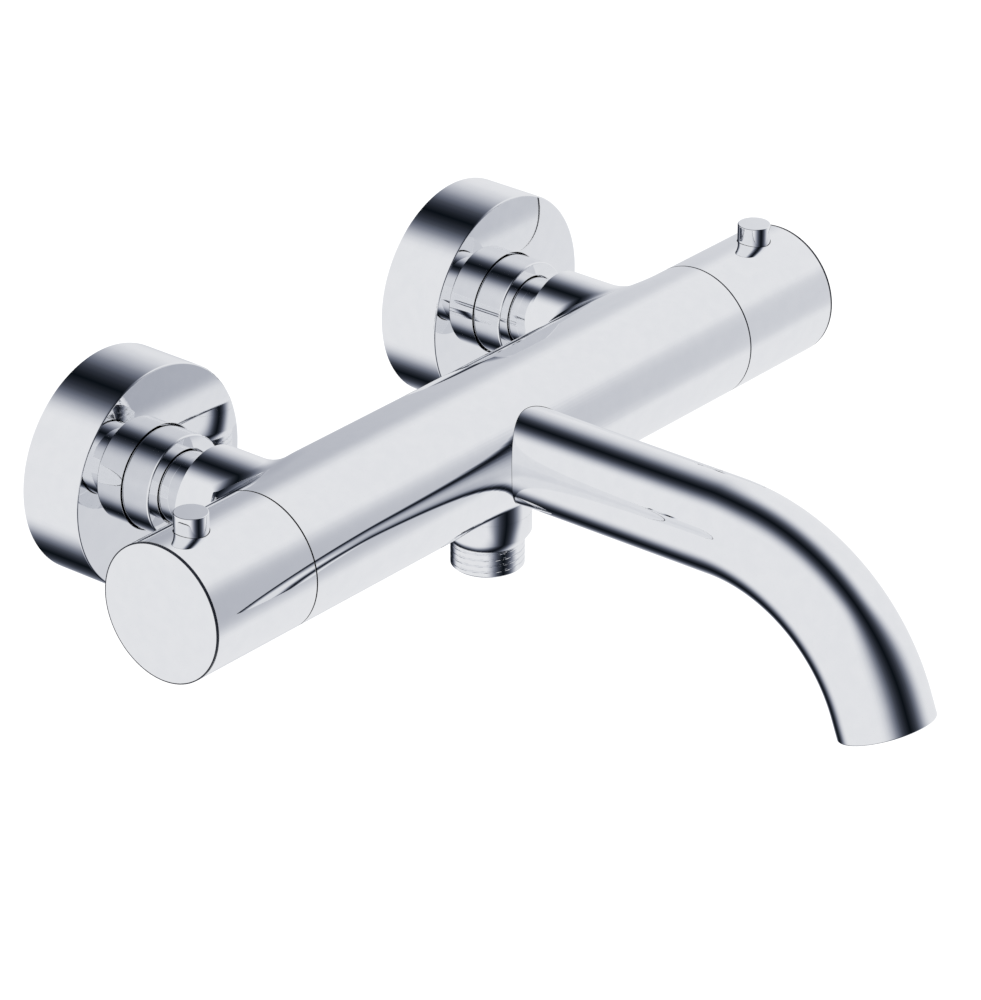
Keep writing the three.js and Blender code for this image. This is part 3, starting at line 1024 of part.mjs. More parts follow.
function thermostatCartridge() {
  const floor = THERMOSTAT_CHAMBER_FLOOR;
  const start = floor + THERMOSTAT_FOOT;
  const springFloor = start + THERMOSTAT_FLOOR;
  const outer = CARTRIDGE_RADIUS - CARTRIDGE_WAIST;
  const bore = outer - THERMOSTAT_HOUSING_WALL;
  const neckBore = SPINDLE_DIAMETER / 2 + TURN_GAP;
  const flangeBack = FLANGE_OUTER_FACE - FLANGE_THICKNESS;
  const nose = MIXED_CHANNEL_DIAMETER / 2 + THERMOSTAT_NOSE_WALL;
  const noseBore = MIXED_CHANNEL_DIAMETER / 2;
  const divider = floor + DIVIDER_HEIGHT;
  const lower = [[noseBore, floor + GAP], [nose, floor + GAP], [nose, start], [outer, start]];
  const land = [
    [outer, divider - DIVIDER_HALF],
    [CARTRIDGE_RADIUS, divider - DIVIDER_HALF],
    [CARTRIDGE_RADIUS, divider + DIVIDER_HALF],
    [outer, divider + DIVIDER_HALF],
  ];
  const upper = [[outer, flangeBack], [CARTRIDGE_RADIUS, flangeBack], [CARTRIDGE_RADIUS, FLANGE_OUTER_FACE]];
  const neck = [[NECK_DIAMETER / 2, FLANGE_OUTER_FACE], [NECK_DIAMETER / 2, NECK_END], [neckBore, NECK_END]];
  const inside = [[neckBore, flangeBack], [bore, flangeBack], [bore, springFloor], [noseBore, springFloor]];
  const grooveFloor = 2 * CARTRIDGE_RADIUS - 2 * DIVIDER_RING - 0.4;
  const groove = tube(2 * CARTRIDGE_RADIUS + CUT_PAST, grooveFloor, divider - 1, divider + 1, INNER_SIDES);
  let housing = turned([...lower, ...land, ...upper, ...neck, ...inside], INNER_SIDES).subtract(groove);
  for (const height of [divider - THERMOSTAT_WINDOW_OFFSET, divider + THERMOSTAT_WINDOW_OFFSET]) {
    const window = block(3 * outer, THERMOSTAT_WINDOW_LENGTH, THERMOSTAT_WINDOW_WIDTH, 0, height, 0);
    housing = housing.subtract(window);
  }

  const web = divider - 1;
  const webTop = web + 2;
  const skirtStart = web - 6;
  const skirtEnd = web + 8;
  const spoolOuter = bore - TURN_GAP;
  const spoolInner = spoolOuter - SPOOL_SKIRT;
  const spoolBore = WAX_RADIUS + GAP;
  const spoolWeb = [[spoolBore, webTop], [spoolBore, web]];
  const spoolBelow = [[spoolInner, web], [spoolInner, skirtStart], [spoolOuter, skirtStart]];
  const spoolAbove = [[spoolOuter, skirtEnd], [spoolInner, skirtEnd], [spoolInner, webTop]];
  let spool = turned([...spoolWeb, ...spoolBelow, ...spoolAbove], INNER_SIDES);
  const holeCircle = (spoolInner + spoolBore) / 2;
  for (let i = 0; i < SPOOL_HOLES; i++) {
    const hole = rod(SPOOL_HOLE_DIAMETER, web - 1, webTop + 1, SMALL_SIDES).translate([holeCircle, 0, 0]);
    spool = spool.subtract(hole.rotate([0, (360 * i) / SPOOL_HOLES, 0]));
  }

  const waxFlange = webTop + GAP;
  const waxFlangeTop = waxFlange + 2;
  const waxEnd = web - WAX_BULB_LENGTH;
  const pinEnd = waxFlange + 9;
  const bulb = [[0, waxEnd], [WAX_RADIUS, waxEnd], [WAX_RADIUS, waxFlange], [WAX_FLANGE_RADIUS, waxFlange]];
  const pin = [[WAX_PIN_RADIUS, waxFlangeTop], [WAX_PIN_RADIUS, pinEnd], [0, pinEnd]];
  const wax = turned([...bulb, [WAX_FLANGE_RADIUS, waxFlangeTop], ...pin], SMALL_SIDES);

  const returnDiameter = 2 * WAX_RADIUS + 4.4;
  const returnSpring = coil(returnDiameter, RETURN_SPRING_WIRE, springFloor + COIL_GAP, web - COIL_GAP, 4);

  const collarTop = flangeBack - GAP;
  const collarBottom = collarTop - 1.6;
  const sliderTop = collarBottom - 1;
  const sliderBottom = pinEnd - 2.6;
  const sliderFloor = sliderBottom + 1.6;
  const sliderBore = SPINDLE_DIAMETER / 2 + 1.4;
  const sliderOuter = sliderBore + 2;
  const pinHole = WAX_PIN_RADIUS + GAP;
  const sliderCup = [[pinHole, sliderBottom], [sliderOuter, sliderBottom], [sliderOuter, sliderTop]];
  const sliderInside = [[sliderBore, sliderTop], [sliderBore, sliderFloor], [pinHole, sliderFloor]];
  const slider = turned([...sliderCup, ...sliderInside], INNER_SIDES);
  const screwBottom = sliderTop - 5;
  const overload = coil(2 * sliderBore - 3, OVERLOAD_SPRING_WIRE, sliderFloor + COIL_GAP, screwBottom - 1, 3);
  const adjustingScrew = rod(2 * sliderBore - 2 * GAP, screwBottom, collarBottom + 0.5, SMALL_SIDES);
  const adjuster = spindle(2 * sliderBore + 3, collarBottom, collarTop).add(adjustingScrew);
  const dividerRing = roundRing(2 * CARTRIDGE_RADIUS - 2.4, DIVIDER_RING, divider, INNER_SIDES);
  return [
    piece("thermostat_housing", greyPlastic(), housing),
    piece("thermostat_divider_ring", rubber(), dividerRing),
    piece("thermostat_spool", brass(), spool),
    piece("wax_element", brass(), wax),
    piece("return_spring", steel(), returnSpring),
    piece("adjusting_slider", brass(), slider),
    piece("overload_spring", steel(), overload),
    piece("temperature_spindle", brass(), adjuster),
  ];
}

// ---- The whole mixer ----

const mixer = new THREE.Group();
mixer.add(wallConnection("hot", -INLET_X));
mixer.add(wallConnection("cold", INLET_X));
mixer.add(valveBody());
mixer.add(spoutAssembly());
mixer.add(showerOutlet());

const flowSide = handleTrain("flow", stopRing(FLOW_TURN_EACH_WAY, FLOW_TURN_EACH_WAY), flowCartridge());
flowSide.rotation.z = Math.PI / 2;
mixer.add(flowSide);

const temperatureSide = handleTrain(
  "temperature",
  stopRing(TEMPERATURE_TURN_HOT, TEMPERATURE_TURN_COLD),
  thermostatCartridge(),
);
temperatureSide.rotation.z = -Math.PI / 2;
mixer.add(temperatureSide);

export default mixer;
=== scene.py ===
# The looks of a wall mounted thermostatic bath mixer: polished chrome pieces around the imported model.
# Metres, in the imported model's frame: the wall is y = 0, the room on its -Y side, +Z up, +X to the right.
import json
import math

import bmesh
import bpy
import numpy as np
from mathutils import Matrix, Vector


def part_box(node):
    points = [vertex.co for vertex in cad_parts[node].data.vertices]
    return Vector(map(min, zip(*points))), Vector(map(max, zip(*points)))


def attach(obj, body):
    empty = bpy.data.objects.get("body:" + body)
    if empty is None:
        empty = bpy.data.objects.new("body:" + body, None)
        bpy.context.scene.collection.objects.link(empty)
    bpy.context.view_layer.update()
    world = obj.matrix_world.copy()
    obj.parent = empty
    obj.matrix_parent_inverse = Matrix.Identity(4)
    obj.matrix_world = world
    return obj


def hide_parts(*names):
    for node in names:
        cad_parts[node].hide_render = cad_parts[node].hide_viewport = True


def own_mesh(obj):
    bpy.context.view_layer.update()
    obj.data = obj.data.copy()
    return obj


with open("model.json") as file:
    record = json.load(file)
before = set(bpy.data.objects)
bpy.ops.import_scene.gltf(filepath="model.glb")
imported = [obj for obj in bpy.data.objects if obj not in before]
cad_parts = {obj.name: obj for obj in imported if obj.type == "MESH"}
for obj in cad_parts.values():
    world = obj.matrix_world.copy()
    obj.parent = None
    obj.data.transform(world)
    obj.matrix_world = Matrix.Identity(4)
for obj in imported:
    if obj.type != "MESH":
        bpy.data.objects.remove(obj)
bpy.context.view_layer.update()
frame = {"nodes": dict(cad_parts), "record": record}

MM = 0.001
FIXED = "fixed_body"
X, Y, Z = Vector((1, 0, 0)), Vector((0, 1, 0)), Vector((0, 0, 1))

# Facets
ROUND_SIDES = 160
SMALL_SIDES = 72
CORNER_STEPS = 6
FILLET_STEPS = 14
FADE_STATIONS = 25
BEND_STATIONS = 73


def middle_x(node):
    low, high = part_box(node)
    return (low.x + high.x) / 2


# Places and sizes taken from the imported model
BODY_LOW, BODY_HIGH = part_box("valve_body")
BODY_END = BODY_HIGH.x
BODY_RADIUS = BODY_HIGH.z
AXIS_Y = BODY_LOW.y + BODY_RADIUS
LEG_FACE_Y = BODY_HIGH.y
INLETS = {side: middle_x(side + "_union_nut") for side in ("hot", "cold")}
INLET_X = INLETS["cold"]
OUTLET_LOW, OUTLET_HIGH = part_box("shower_outlet")
OUTLET_NECK_RADIUS = (OUTLET_HIGH.x - OUTLET_LOW.x) / 2
SPOUT_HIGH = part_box("spout_tube")[1]
SPOUT_RADIUS = SPOUT_HIGH.x
SPOUT_AXIS_Z = SPOUT_HIGH.z - SPOUT_RADIUS

# Shape of the casting
LEG_RADIUS = 15 * MM
LEG_FOOT_SHARE = 0.6  # how near the bar's surface a leg's hidden foot stays, 0 being the bar's axis
RIB_OFFSET = 4.85 * MM  # how far the thickened back's circle lies behind the bar's
RIB_INSET = 1 * MM  # how much smaller that circle is
RIB_FADE = (62 * MM, 90 * MM)  # between which places along the bar the thickened back runs out
FILLET_INNER = 8 * MM
FILLET_OUTER = 12 * MM
FILLET_END_MARGIN = 0.15 * MM
FILLET_CHANGE = 0.25  # the fillet changes over this much, either way, of the cosine round the leg

# Waterways
CHAMBER_RADIUS = BODY_RADIUS - 3.4 * MM
PORT_RADIUS = 6.5 * MM
CHANNEL_RADIUS = 3.2 * MM
CHANNEL_OFFSET = 8.5 * MM
RETURN_OFFSET = 8 * MM
OUTLET_STUB_RADIUS = 8.3 * MM
GAP = 0.3 * MM  # round a piece inside a hollow
SEAT_GAP = 0.08 * MM  # round the spout's root
PAST = 5 * MM  # how far a cutter stands out of what it cuts

# Shape of the spout. Lengths run along it from the wall.
SPOUT_WALL = 1.2 * MM
SPOUT_BEND_RADIUS = 56.4 * MM
SPOUT_BEND = math.radians(69.3)
SPOUT_BEND_START = -AXIS_Y + BODY_RADIUS + 63.4 * MM
SPOUT_BEND_END = SPOUT_BEND_START + SPOUT_BEND_RADIUS * SPOUT_BEND
SPOUT_MOUTH = SPOUT_BEND_END + 6.3 * MM
SPOUT_EDGE = 0.35 * MM
SPOUT_CHAMFER = 0.2 * MM

# G1/2 pipe thread
THREAD_RADIUS = 10.48 * MM
THREAD_PITCH = 1.814 * MM
THREAD_DEPTH = 0.55 * MM  # a shallow rolled groove between flat crests
THREAD_FLANK = 3.2  # how steep the groove's sides are, in depths per half pitch
THREAD_RUNOUT = 0.4 * THREAD_PITCH
THREAD_ROWS = 20  # rows of points in one pitch


# ---- Mesh helpers ----


def smoothstep(low, high, value):
    share = np.clip((value - low) / (high - low), 0, 1)
    return share * share * (3 - 2 * share)


def new_object(name, mesh):
    made = bpy.data.objects.new(name, mesh)
    bpy.context.scene.collection.objects.link(made)
    return made


def mesh_object(name, points, faces):
    mesh = bpy.data.meshes.new(name)
    mesh.from_pydata([tuple(p) for p in points], [], faces)
    tidy = bmesh.new()
    tidy.from_mesh(mesh)
    bmesh.ops.recalc_face_normals(tidy, faces=tidy.faces)
    tidy.to_mesh(mesh)
    tidy.free()
    return new_object(name, mesh)


def rounded(corners, steps=CORNER_STEPS):
    """A closed outline of (radius, height) points from (radius, height, corner radius) corners."""
    outline = []
    count = len(corners)
    for i, corner in enumerate(corners):
        here = np.array(corner[:2])
        size = corner[2] if len(corner) > 2 else 0
        if not size:
            outline.append(tuple(here))
            continue
        before = np.array(corners[i - 1][:2]) - here
        after = np.array(corners[(i + 1) % count][:2]) - here
        before /= np.linalg.norm(before)
        after /= np.linalg.norm(after)
        half = math.acos(float(np.clip(before @ after, -1, 1))) / 2
        middle = before + after
        centre = here + middle / np.linalg.norm(middle) * size / math.sin(half)
        reach = size / math.tan(half)
        start, end = here + before * reach - centre, here + after * reach - centre
        sweep = math.pi - 2 * half
        for step in range(steps + 1):
            share = step / steps
            point = start * math.sin((1 - share) * sweep) + end * math.sin(share * sweep)
            outline.append(tuple(centre + point / math.sin(sweep)))
    return outline


def straight(origin, axis):
    """Where heights run along a straight axis: gives each height's centre and two directions across."""
    axis = Vector(axis).normalized()
    across = Z.cross(axis).normalized() if abs(axis.z) < 0.5 else X.copy()
    return lambda height: (Vector(origin) + axis * height, across, axis.cross(across))


def turned(name, outline, place, sides=ROUND_SIDES):
    """A solid round a line, from (radius, height) points that close on themselves or on the line.

    A radius may be a function of the angle round the line."""
    points, rings = [], []
    for radius, height in outline:
        centre, across, up = place(height)
        if not callable(radius) and radius < 1e-9:
            rings.append([len(points)])
            points.append(centre)
            continue
        rings.append(range(len(points), len(points) + sides))
        for i in range(sides):
            angle = 2 * math.pi * i / sides
            reach = radius(angle) if callable(radius) else radius
            points.append(centre + across * (reach * math.cos(angle)) + up * (reach * math.sin(angle)))
    faces = []
    for i, ring in enumerate(rings):
        following = rings[(i + 1) % len(rings)]
        if len(ring) == 1 and len(following) == 1:
            continue
        for j in range(sides):
            k = (j + 1) % sides
            if len(ring) == 1:
                faces.append((ring[0], following[j], following[k]))
            elif len(following) == 1:
                faces.append((ring[j], following[0], ring[k]))
            else:
                faces.append((ring[j], following[j], following[k], ring[k]))
    return mesh_object(name, points, faces)


def rod(radius, start, end, place, sides=ROUND_SIDES):
    return turned("cutter", [(0, start), (radius, start), (radius, end), (0, end)], place, sides)


ALONG_BODY = straight((0, AXIS_Y, 0), X)
DOWN_FROM_BODY = straight((0, AXIS_Y, 0), -Z)


def baked(piece):
    """Replaces a piece's modifiers with the mesh they make."""
    depsgraph = bpy.context.evaluated_depsgraph_get()
    mesh = bpy.data.meshes.new_from_object(piece.evaluated_get(depsgraph))
    piece.modifiers.clear()
    piece.data = mesh
    return piece


def combined(piece, other, operation):
    """Joins to or cuts from a piece another solid, which is used up."""
    modifier = piece.modifiers.new(operation, "BOOLEAN")
    modifier.operation = operation
    modifier.solver = "MANIFOLD"
    modifier.object = other
    baked(piece)
    bpy.data.objects.remove(other)
    return piece


def smoothed(piece, sharp_degrees=35):
    """Smooth shading that keeps flats flat and corners over the given angle sharp."""
    piece.data.shade_smooth()
    piece.data.set_sharp_from_angle(angle=math.radians(sharp_degrees))
    modifier = piece.modifiers.new("flats", "WEIGHTED_NORMAL")
    modifier.mode = "FACE_AREA"
    modifier.weight = 60
    modifier.keep_sharp = True
    return baked(piece)


def finished(piece, body, finish, slot, *nodes):
    """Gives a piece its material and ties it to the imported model."""
    piece.data.materials.clear()
    piece.data.materials.append(finish)
    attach(piece, body)
    if nodes:
        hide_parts(*nodes)
    return piece


# ---- Materials ----


def shader_material(name):
    material = bpy.data.materials.new(name)
    material.use_nodes = True
    return material, material.node_tree, material.node_tree.nodes["Principled BSDF"]


def noise(tree, scale, detail=3.0):
    coordinates = tree.nodes.new("ShaderNodeTexCoord")
    texture = tree.nodes.new("ShaderNodeTexNoise")
    texture.inputs["Scale"].default_value = scale
    texture.inputs["Detail"].default_value = detail
    tree.links.new(coordinates.outputs["Object"], texture.inputs["Vector"])
    return texture


def ramp(tree, factor, low, high, start=0.35, end=0.65):
    """Colours from low to high as the factor goes from start to end."""
    node = tree.nodes.new("ShaderNodeValToRGB")
    node.color_ramp.elements[0].position = start
    node.color_ramp.elements[0].color = (*low, 1)
    node.color_ramp.elements[1].position = end
    node.color_ramp.elements[1].color = (*high, 1)
    tree.links.new(factor, node.inputs["Fac"])
    return node.outputs["Color"]


def bumped(tree, shader, height, strength, distance):
    bump = tree.nodes.new("ShaderNodeBump")
    bump.inputs["Strength"].default_value = strength
    bump.inputs["Distance"].default_value = distance
    tree.links.new(height, bump.inputs["Height"])
    tree.links.new(bump.outputs["Normal"], shader.inputs["Normal"])


def procedural(name, metallic, dark, light, roughness, scale, bump=0.0):
    """A material whose colour and roughness drift a little between two values, with an optional grain."""
    material, tree, shader = shader_material(name)
    shader.inputs["Metallic"].default_value = metallic
    drift = noise(tree, scale).outputs["Fac"]
    tree.links.new(ramp(tree, drift, dark, light), shader.inputs["Base Color"])
    low, high = roughness
    tree.links.new(ramp(tree, drift, (low,) * 3, (high,) * 3), shader.inputs["Roughness"])
    if bump:
        bumped(tree, shader, noise(tree, scale * 12).outputs["Fac"], bump, 0.02 * MM)
    return material


MATERIALS = {
    "chrome": procedural(
        "polished_chrome", 1, (0.905, 0.912, 0.925), (0.925, 0.93, 0.94), (0.012, 0.03), 260),
    "brass": procedural(
        "turned_brass", 1, (0.55, 0.36, 0.12), (0.66, 0.46, 0.19), (0.24, 0.38), 180, 0.25),
    "steel": procedural(
        "spring_steel", 1, (0.42, 0.43, 0.45), (0.56, 0.57, 0.58), (0.22, 0.36), 300, 0.15),
    "rubber": procedural(
        "black_rubber", 0, (0.012, 0.012, 0.013), (0.028, 0.028, 0.03), (0.6, 0.8), 220, 0.5),
    "white_plastic": procedural(
        "white_acetal", 0, (0.72, 0.72, 0.69), (0.8, 0.8, 0.77), (0.36, 0.48), 140, 0.2),
    "grey_plastic": procedural(
        "grey_polymer", 0, (0.13, 0.14, 0.15), (0.19, 0.2, 0.21), (0.4, 0.55), 140, 0.2),
    "ceramic": procedural(
        "ground_ceramic", 0, (0.82, 0.79, 0.72), (0.88, 0.86, 0.8), (0.12, 0.22), 200, 0.1),
}
CHROME = MATERIALS["chrome"]
# Painted shade: a dark chrome that stands in for the shadow in the seams at the handles' ends.
PAINTED_SEAM_SHADE = procedural("painted_seam_shade", 1, (0.02, 0.024, 0.035), (0.03, 0.035, 0.05), (0.3, 0.4), 260)


def paint_seam_shade(piece, place, inner, outer, start, end):
    """Paints shade, as a dark chrome, on the faces in a ring round a line, between two radii and two
    heights.
    """
    origin = place(0)[0]
    axis = place(1)[0] - origin
    piece.data.materials.append(PAINTED_SEAM_SHADE)
    for face in piece.data.polygons:
        offset = face.center - origin
        height = offset.dot(axis)
        radius = (offset - axis * height).length
        if inner < radius < outer and start < height < end:
            face.material_index = 1


# ---- The casting: a bar with a thickened back, two legs and the outlet's boss ----

RIB_SLOPE = math.acos(RIB_INSET / RIB_OFFSET)


def rib_share(x):
    """How much of the thickened back there is at x: all of it between the legs, none beyond them."""
    return float(1 - smoothstep(*RIB_FADE, abs(x)))


def bar():
    """The bar as rings of section points. Between the legs the section is the hull of two circles."""
    fade = np.linspace(*RIB_FADE, FADE_STATIONS)
    stations = [-BODY_END, *-fade[::-1], *fade, BODY_END]
    small = np.linspace(-RIB_SLOPE, RIB_SLOPE, ROUND_SIDES // 2)
    large = np.linspace(RIB_SLOPE, 2 * math.pi - RIB_SLOPE, ROUND_SIDES // 2)
    points = []
    for x in stations:
        share = rib_share(x)
        radius, offset = BODY_RADIUS - RIB_INSET * share, RIB_OFFSET * share
        points += [(x, AXIS_Y + offset + radius * math.cos(t), radius * math.sin(t)) for t in small]
        points += [(x, AXIS_Y + BODY_RADIUS * math.cos(t), BODY_RADIUS * math.sin(t)) for t in large]
    count = len(small) + len(large)
    faces = [tuple(range(count)), tuple(range(len(points) - count, len(points)))]
    for row in range(len(stations) - 1):
        start = row * count
        for i in range(count):
            k = (i + 1) % count
            faces.append((start + i, start + count + i, start + count + k, start + k))
    made = mesh_object("valve_casting", points, faces)
    tidy = bmesh.new()
    tidy.from_mesh(made.data)
    bmesh.ops.remove_doubles(tidy, verts=tidy.verts, dist=1e-7)
    tidy.to_mesh(made.data)
    tidy.free()
    return made


def fillet_radius(angle):
    """A leg's fillet. Angle 0 points to the body's end, which leaves the fillet less room."""
    outward = math.cos(angle)
    room = BODY_END - INLET_X - FILLET_END_MARGIN
    outer = min(FILLET_OUTER, room / max(abs(outward), 1e-6) - LEG_RADIUS)
    inner = float(smoothstep(FILLET_CHANGE, -FILLET_CHANGE, outward))
    return outer + (FILLET_INNER - outer) * inner


def grown_back(x, up, offset):
    """How far behind the body axis the section grown by offset lies at a height, and its normal there."""
    share = rib_share(x)
    large, small, shift = BODY_RADIUS + offset, BODY_RADIUS - RIB_INSET * share + offset, RIB_OFFSET * share
    cosine, sine = math.cos(RIB_SLOPE), math.sin(RIB_SLOPE)
    height = abs(up)
    if height >= large * sine or share < 1e-6:
        back = math.sqrt(large**2 - height**2)
        return back, Vector((0, back, up)) / large
    if height <= small * sine:
        back = math.sqrt(small**2 - height**2)
        return shift + back, Vector((0, back, up)) / small
    along = (height / sine - small) / (large - small)
    start = shift + small * cosine
    back = start + along * (large * cosine - shift - small * cosine)
    return back, Vector((0, cosine, math.copysign(sine, up)))


def leg(side_x):
    """A leg with the skirt that a rolling ball leaves between it and the bar, solid to the bar's axis."""
    outward = math.copysign(1, side_x)
    points, columns = [], []
    for i in range(ROUND_SIDES):
        angle = 2 * math.pi * i / ROUND_SIDES
        fillet = fillet_radius(angle)
        reach = LEG_RADIUS + fillet
        across, up = outward * reach * math.cos(angle), reach * math.sin(angle)
        back, normal = grown_back(side_x + across, up, fillet)
        ball = Vector((side_x + across, AXIS_Y + back, up))
        to_leg = -Vector((outward * math.cos(angle), 0, math.sin(angle)))
        sweep = to_leg.angle(-normal)
        column = [Vector((side_x, LEG_FACE_Y, 0)) - to_leg * LEG_RADIUS]
        for step in range(FILLET_STEPS + 1):
            share = step / FILLET_STEPS
            turn = to_leg * math.sin((1 - share) * sweep) - normal * math.sin(share * sweep)
            column.append(ball + turn * (fillet / math.sin(sweep)))
        foot = column[-1]
        deep = AXIS_Y + (foot.y - AXIS_Y) * LEG_FOOT_SHARE
        column.append(Vector((foot.x, deep, foot.z * LEG_FOOT_SHARE)))
        columns.append(range(len(points), len(points) + len(column)))
        points += column
    top, bottom = len(points), len(points) + 1
    points += [Vector((side_x, LEG_FACE_Y, 0)), Vector((side_x, AXIS_Y, 0))]
    faces = []
    for i, here in enumerate(columns):
        following = columns[(i + 1) % ROUND_SIDES]
        faces.append((top, here[0], following[0]))
        faces.append((bottom, following[-1], here[-1]))
        faces += [(here[j], here[j + 1], following[j + 1], following[j]) for j in range(len(here) - 1)]
    return mesh_object("leg", points, faces)


def casting():
    made = bar()
    for x in INLETS.values():
        made = combined(made, leg(x), "UNION")
    made = combined(made, rod(OUTLET_NECK_RADIUS, 0, -BODY_LOW.z, DOWN_FROM_BODY), "UNION")
    flow_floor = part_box("flow_cartridge_gasket")[1].x + GAP
    hot_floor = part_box("thermostat_housing")[0].x - GAP
    into_spout = straight((0, 0, SPOUT_AXIS_Z), -Y)
    hollows = [
        rod(CHAMBER_RADIUS, -BODY_END - PAST, flow_floor, ALONG_BODY),
        rod(CHAMBER_RADIUS, hot_floor, BODY_END + PAST, ALONG_BODY),
        rod(SPOUT_RADIUS + SEAT_GAP, -SPOUT_HIGH.y - GAP, -BODY_LOW.y + PAST, into_spout),
        rod(OUTLET_STUB_RADIUS + GAP, -OUTLET_HIGH.z - GAP, -BODY_LOW.z + PAST, DOWN_FROM_BODY),
    ]
    tail_end = -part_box("hot_tailpiece")[0].y + GAP
    for x in INLETS.values():
        into_leg = straight((x, 0, 0), -Y)
        hollows.append(rod(THREAD_RADIUS + GAP, -LEG_FACE_Y - PAST, tail_end, into_leg))
        hollows.append(rod(PORT_RADIUS, tail_end - MM, -AXIS_Y - CHAMBER_RADIUS / 2, into_leg))
    # Channels from the flow chamber to the spout and the outlet, and two through to the hot end's chamber.
    hot_end = hot_floor + MM
    channels = [
        (-CHANNEL_OFFSET, 0, 0), (0, -CHANNEL_OFFSET, 0), (0, 0, hot_end),
        (RETURN_OFFSET, RETURN_OFFSET, hot_end),
    ]
    for back, up, end in channels:
        channel = straight((0, AXIS_Y + back, up), X)
        hollows.append(rod(CHANNEL_RADIUS, flow_floor - MM, end, channel, SMALL_SIDES))
    for hollow in hollows:
        made = combined(made, hollow, "DIFFERENCE")
    return finished(smoothed(made, 30), FIXED, CHROME, "chrome", "valve_body")


# ---- Spout ----


def spout_place(height):
    """The spout's line: straight out from the wall side, one bend, and a straight tip."""
    bend_length = SPOUT_BEND_RADIUS * SPOUT_BEND
    turn = min(max((height - SPOUT_BEND_START) / SPOUT_BEND_RADIUS, 0), SPOUT_BEND)
    before = min(height, SPOUT_BEND_START)
    after = max(height - SPOUT_BEND_START - bend_length, 0)
    out = before + SPOUT_BEND_RADIUS * math.sin(turn) + after * math.cos(turn)
    down = SPOUT_BEND_RADIUS * (1 - math.cos(turn)) + after * math.sin(turn)
    return Vector((0, -out, SPOUT_AXIS_Z - down)), X, Vector((0, -math.sin(turn), math.cos(turn)))


def spout():
    root = -SPOUT_HIGH.y
    bend = [SPOUT_BEND_START, *np.linspace(SPOUT_BEND_START, SPOUT_BEND_END, BEND_STATIONS)[1:]]
    bore = SPOUT_RADIUS - SPOUT_WALL
    outside = [(SPOUT_RADIUS, height) for height in (root, *bend)]
    for turn in np.linspace(0, math.pi / 2, CORNER_STEPS):
        inwards, back = SPOUT_EDGE * (1 - math.cos(turn)), SPOUT_EDGE * (1 - math.sin(turn))
        outside.append((SPOUT_RADIUS - inwards, SPOUT_MOUTH - back))
    chamfer = [(bore + SPOUT_CHAMFER, SPOUT_MOUTH), (bore, SPOUT_MOUTH - SPOUT_CHAMFER)]
    inside = [(bore, height) for height in (*bend[::-1], root)]
    made = turned("spout", outside + chamfer + inside, spout_place)
    return finished(smoothed(made), FIXED, CHROME, "chrome", "spout_tube")


# ---- Aerator, in the spout's mouth ----

MOUTH = next(mount for mount in frame["record"]["mounts"] if mount["name"] == "spout_mouth")
INTO_MOUTH = straight(spout_place(SPOUT_MOUTH)[0], -Vector(MOUTH["axis"]).normalized())
AERATOR_RADIUS = SPOUT_RADIUS - SPOUT_WALL - 0.12 * MM
AERATOR_BORE = AERATOR_RADIUS - 1.6 * MM
AERATOR_FRONT, AERATOR_BACK = 0.6 * MM, 8.6 * MM
GRID_RADIUS = AERATOR_BORE - 0.06 * MM
GRID_FRONT, GRID_BACK = 1.4 * MM, 8.4 * MM
GRID_RIM = 0.5 * MM
GRID_PITCH = 1.9 * MM
GRID_HOLE = 0.68 * MM  # half of a hole's width
SEAL_FRONT, SEAL_BACK = 8.75 * MM, 10.4 * MM
SEAL_WIDTH = 2.5 * MM
BOX_FACES = ((0, 3, 2, 1), (4, 5, 6, 7), (0, 1, 5, 4), (1, 2, 6, 5), (2, 3, 7, 6), (3, 0, 4, 7))


def aerator_ring():
    edge = 0.3 * MM
    shell = [
        (AERATOR_BORE, AERATOR_FRONT, edge), (AERATOR_RADIUS, AERATOR_FRONT, edge),
        (AERATOR_RADIUS, AERATOR_BACK), (AERATOR_BORE, AERATOR_BACK),
    ]
    ring = turned("aerator_ring", rounded(shell), INTO_MOUTH)
    finished(smoothed(ring), FIXED, CHROME, "chrome", "aerator_housing")


def grid_holes():
    """The square holes of the grid, as one mesh of boxes that fit inside its rim."""
    centre, across, up = INTO_MOUTH((GRID_BACK + GRID_FRONT) / 2)
    axis = across.cross(up)
    count = int(GRID_RADIUS / GRID_PITCH)
    corners, faces = [], []
    for i in range(-count, count + 1):
        for j in range(-count, count + 1):
            farthest = math.hypot(abs(i) * GRID_PITCH + GRID_HOLE, abs(j) * GRID_PITCH + GRID_HOLE)
            if farthest > GRID_RADIUS - GRID_RIM:
                continue
            middle = centre + across * (i * GRID_PITCH) + up * (j * GRID_PITCH)
            start = len(corners)
            for depth in (-PAST, PAST):
                for a, b in ((-1, -1), (1, -1), (1, 1), (-1, 1)):
                    corner = middle + across * (a * GRID_HOLE) + up * (b * GRID_HOLE)
                    corners.append(corner + axis * depth)
            faces += [tuple(start + k for k in face) for face in BOX_FACES]
    return mesh_object("holes", corners, faces)


def aerator_grid():
    """The grid set back in the ring: a round plate with a square mesh of holes through it."""
    grid = rod(GRID_RADIUS, GRID_FRONT, GRID_BACK, INTO_MOUTH)
    grid.name = "aerator_grid"
    grid = combined(grid, grid_holes(), "DIFFERENCE")
    finished(smoothed(grid), FIXED, MATERIALS["grey_plastic"], "grey_plastic", "aerator_insert")


def aerator_seal():
    bore = AERATOR_RADIUS - SEAL_WIDTH
    washer = [
        (bore, SEAL_FRONT), (AERATOR_RADIUS, SEAL_FRONT, 0.3 * MM), (AERATOR_RADIUS, SEAL_BACK),
        (bore, SEAL_BACK),
    ]
    ring = turned("aerator_seal", rounded(washer), INTO_MOUTH)
    finished(smoothed(ring), FIXED, MATERIALS["rubber"], "rubber", "aerator_washer")


# ---- Threads and the shower outlet ----


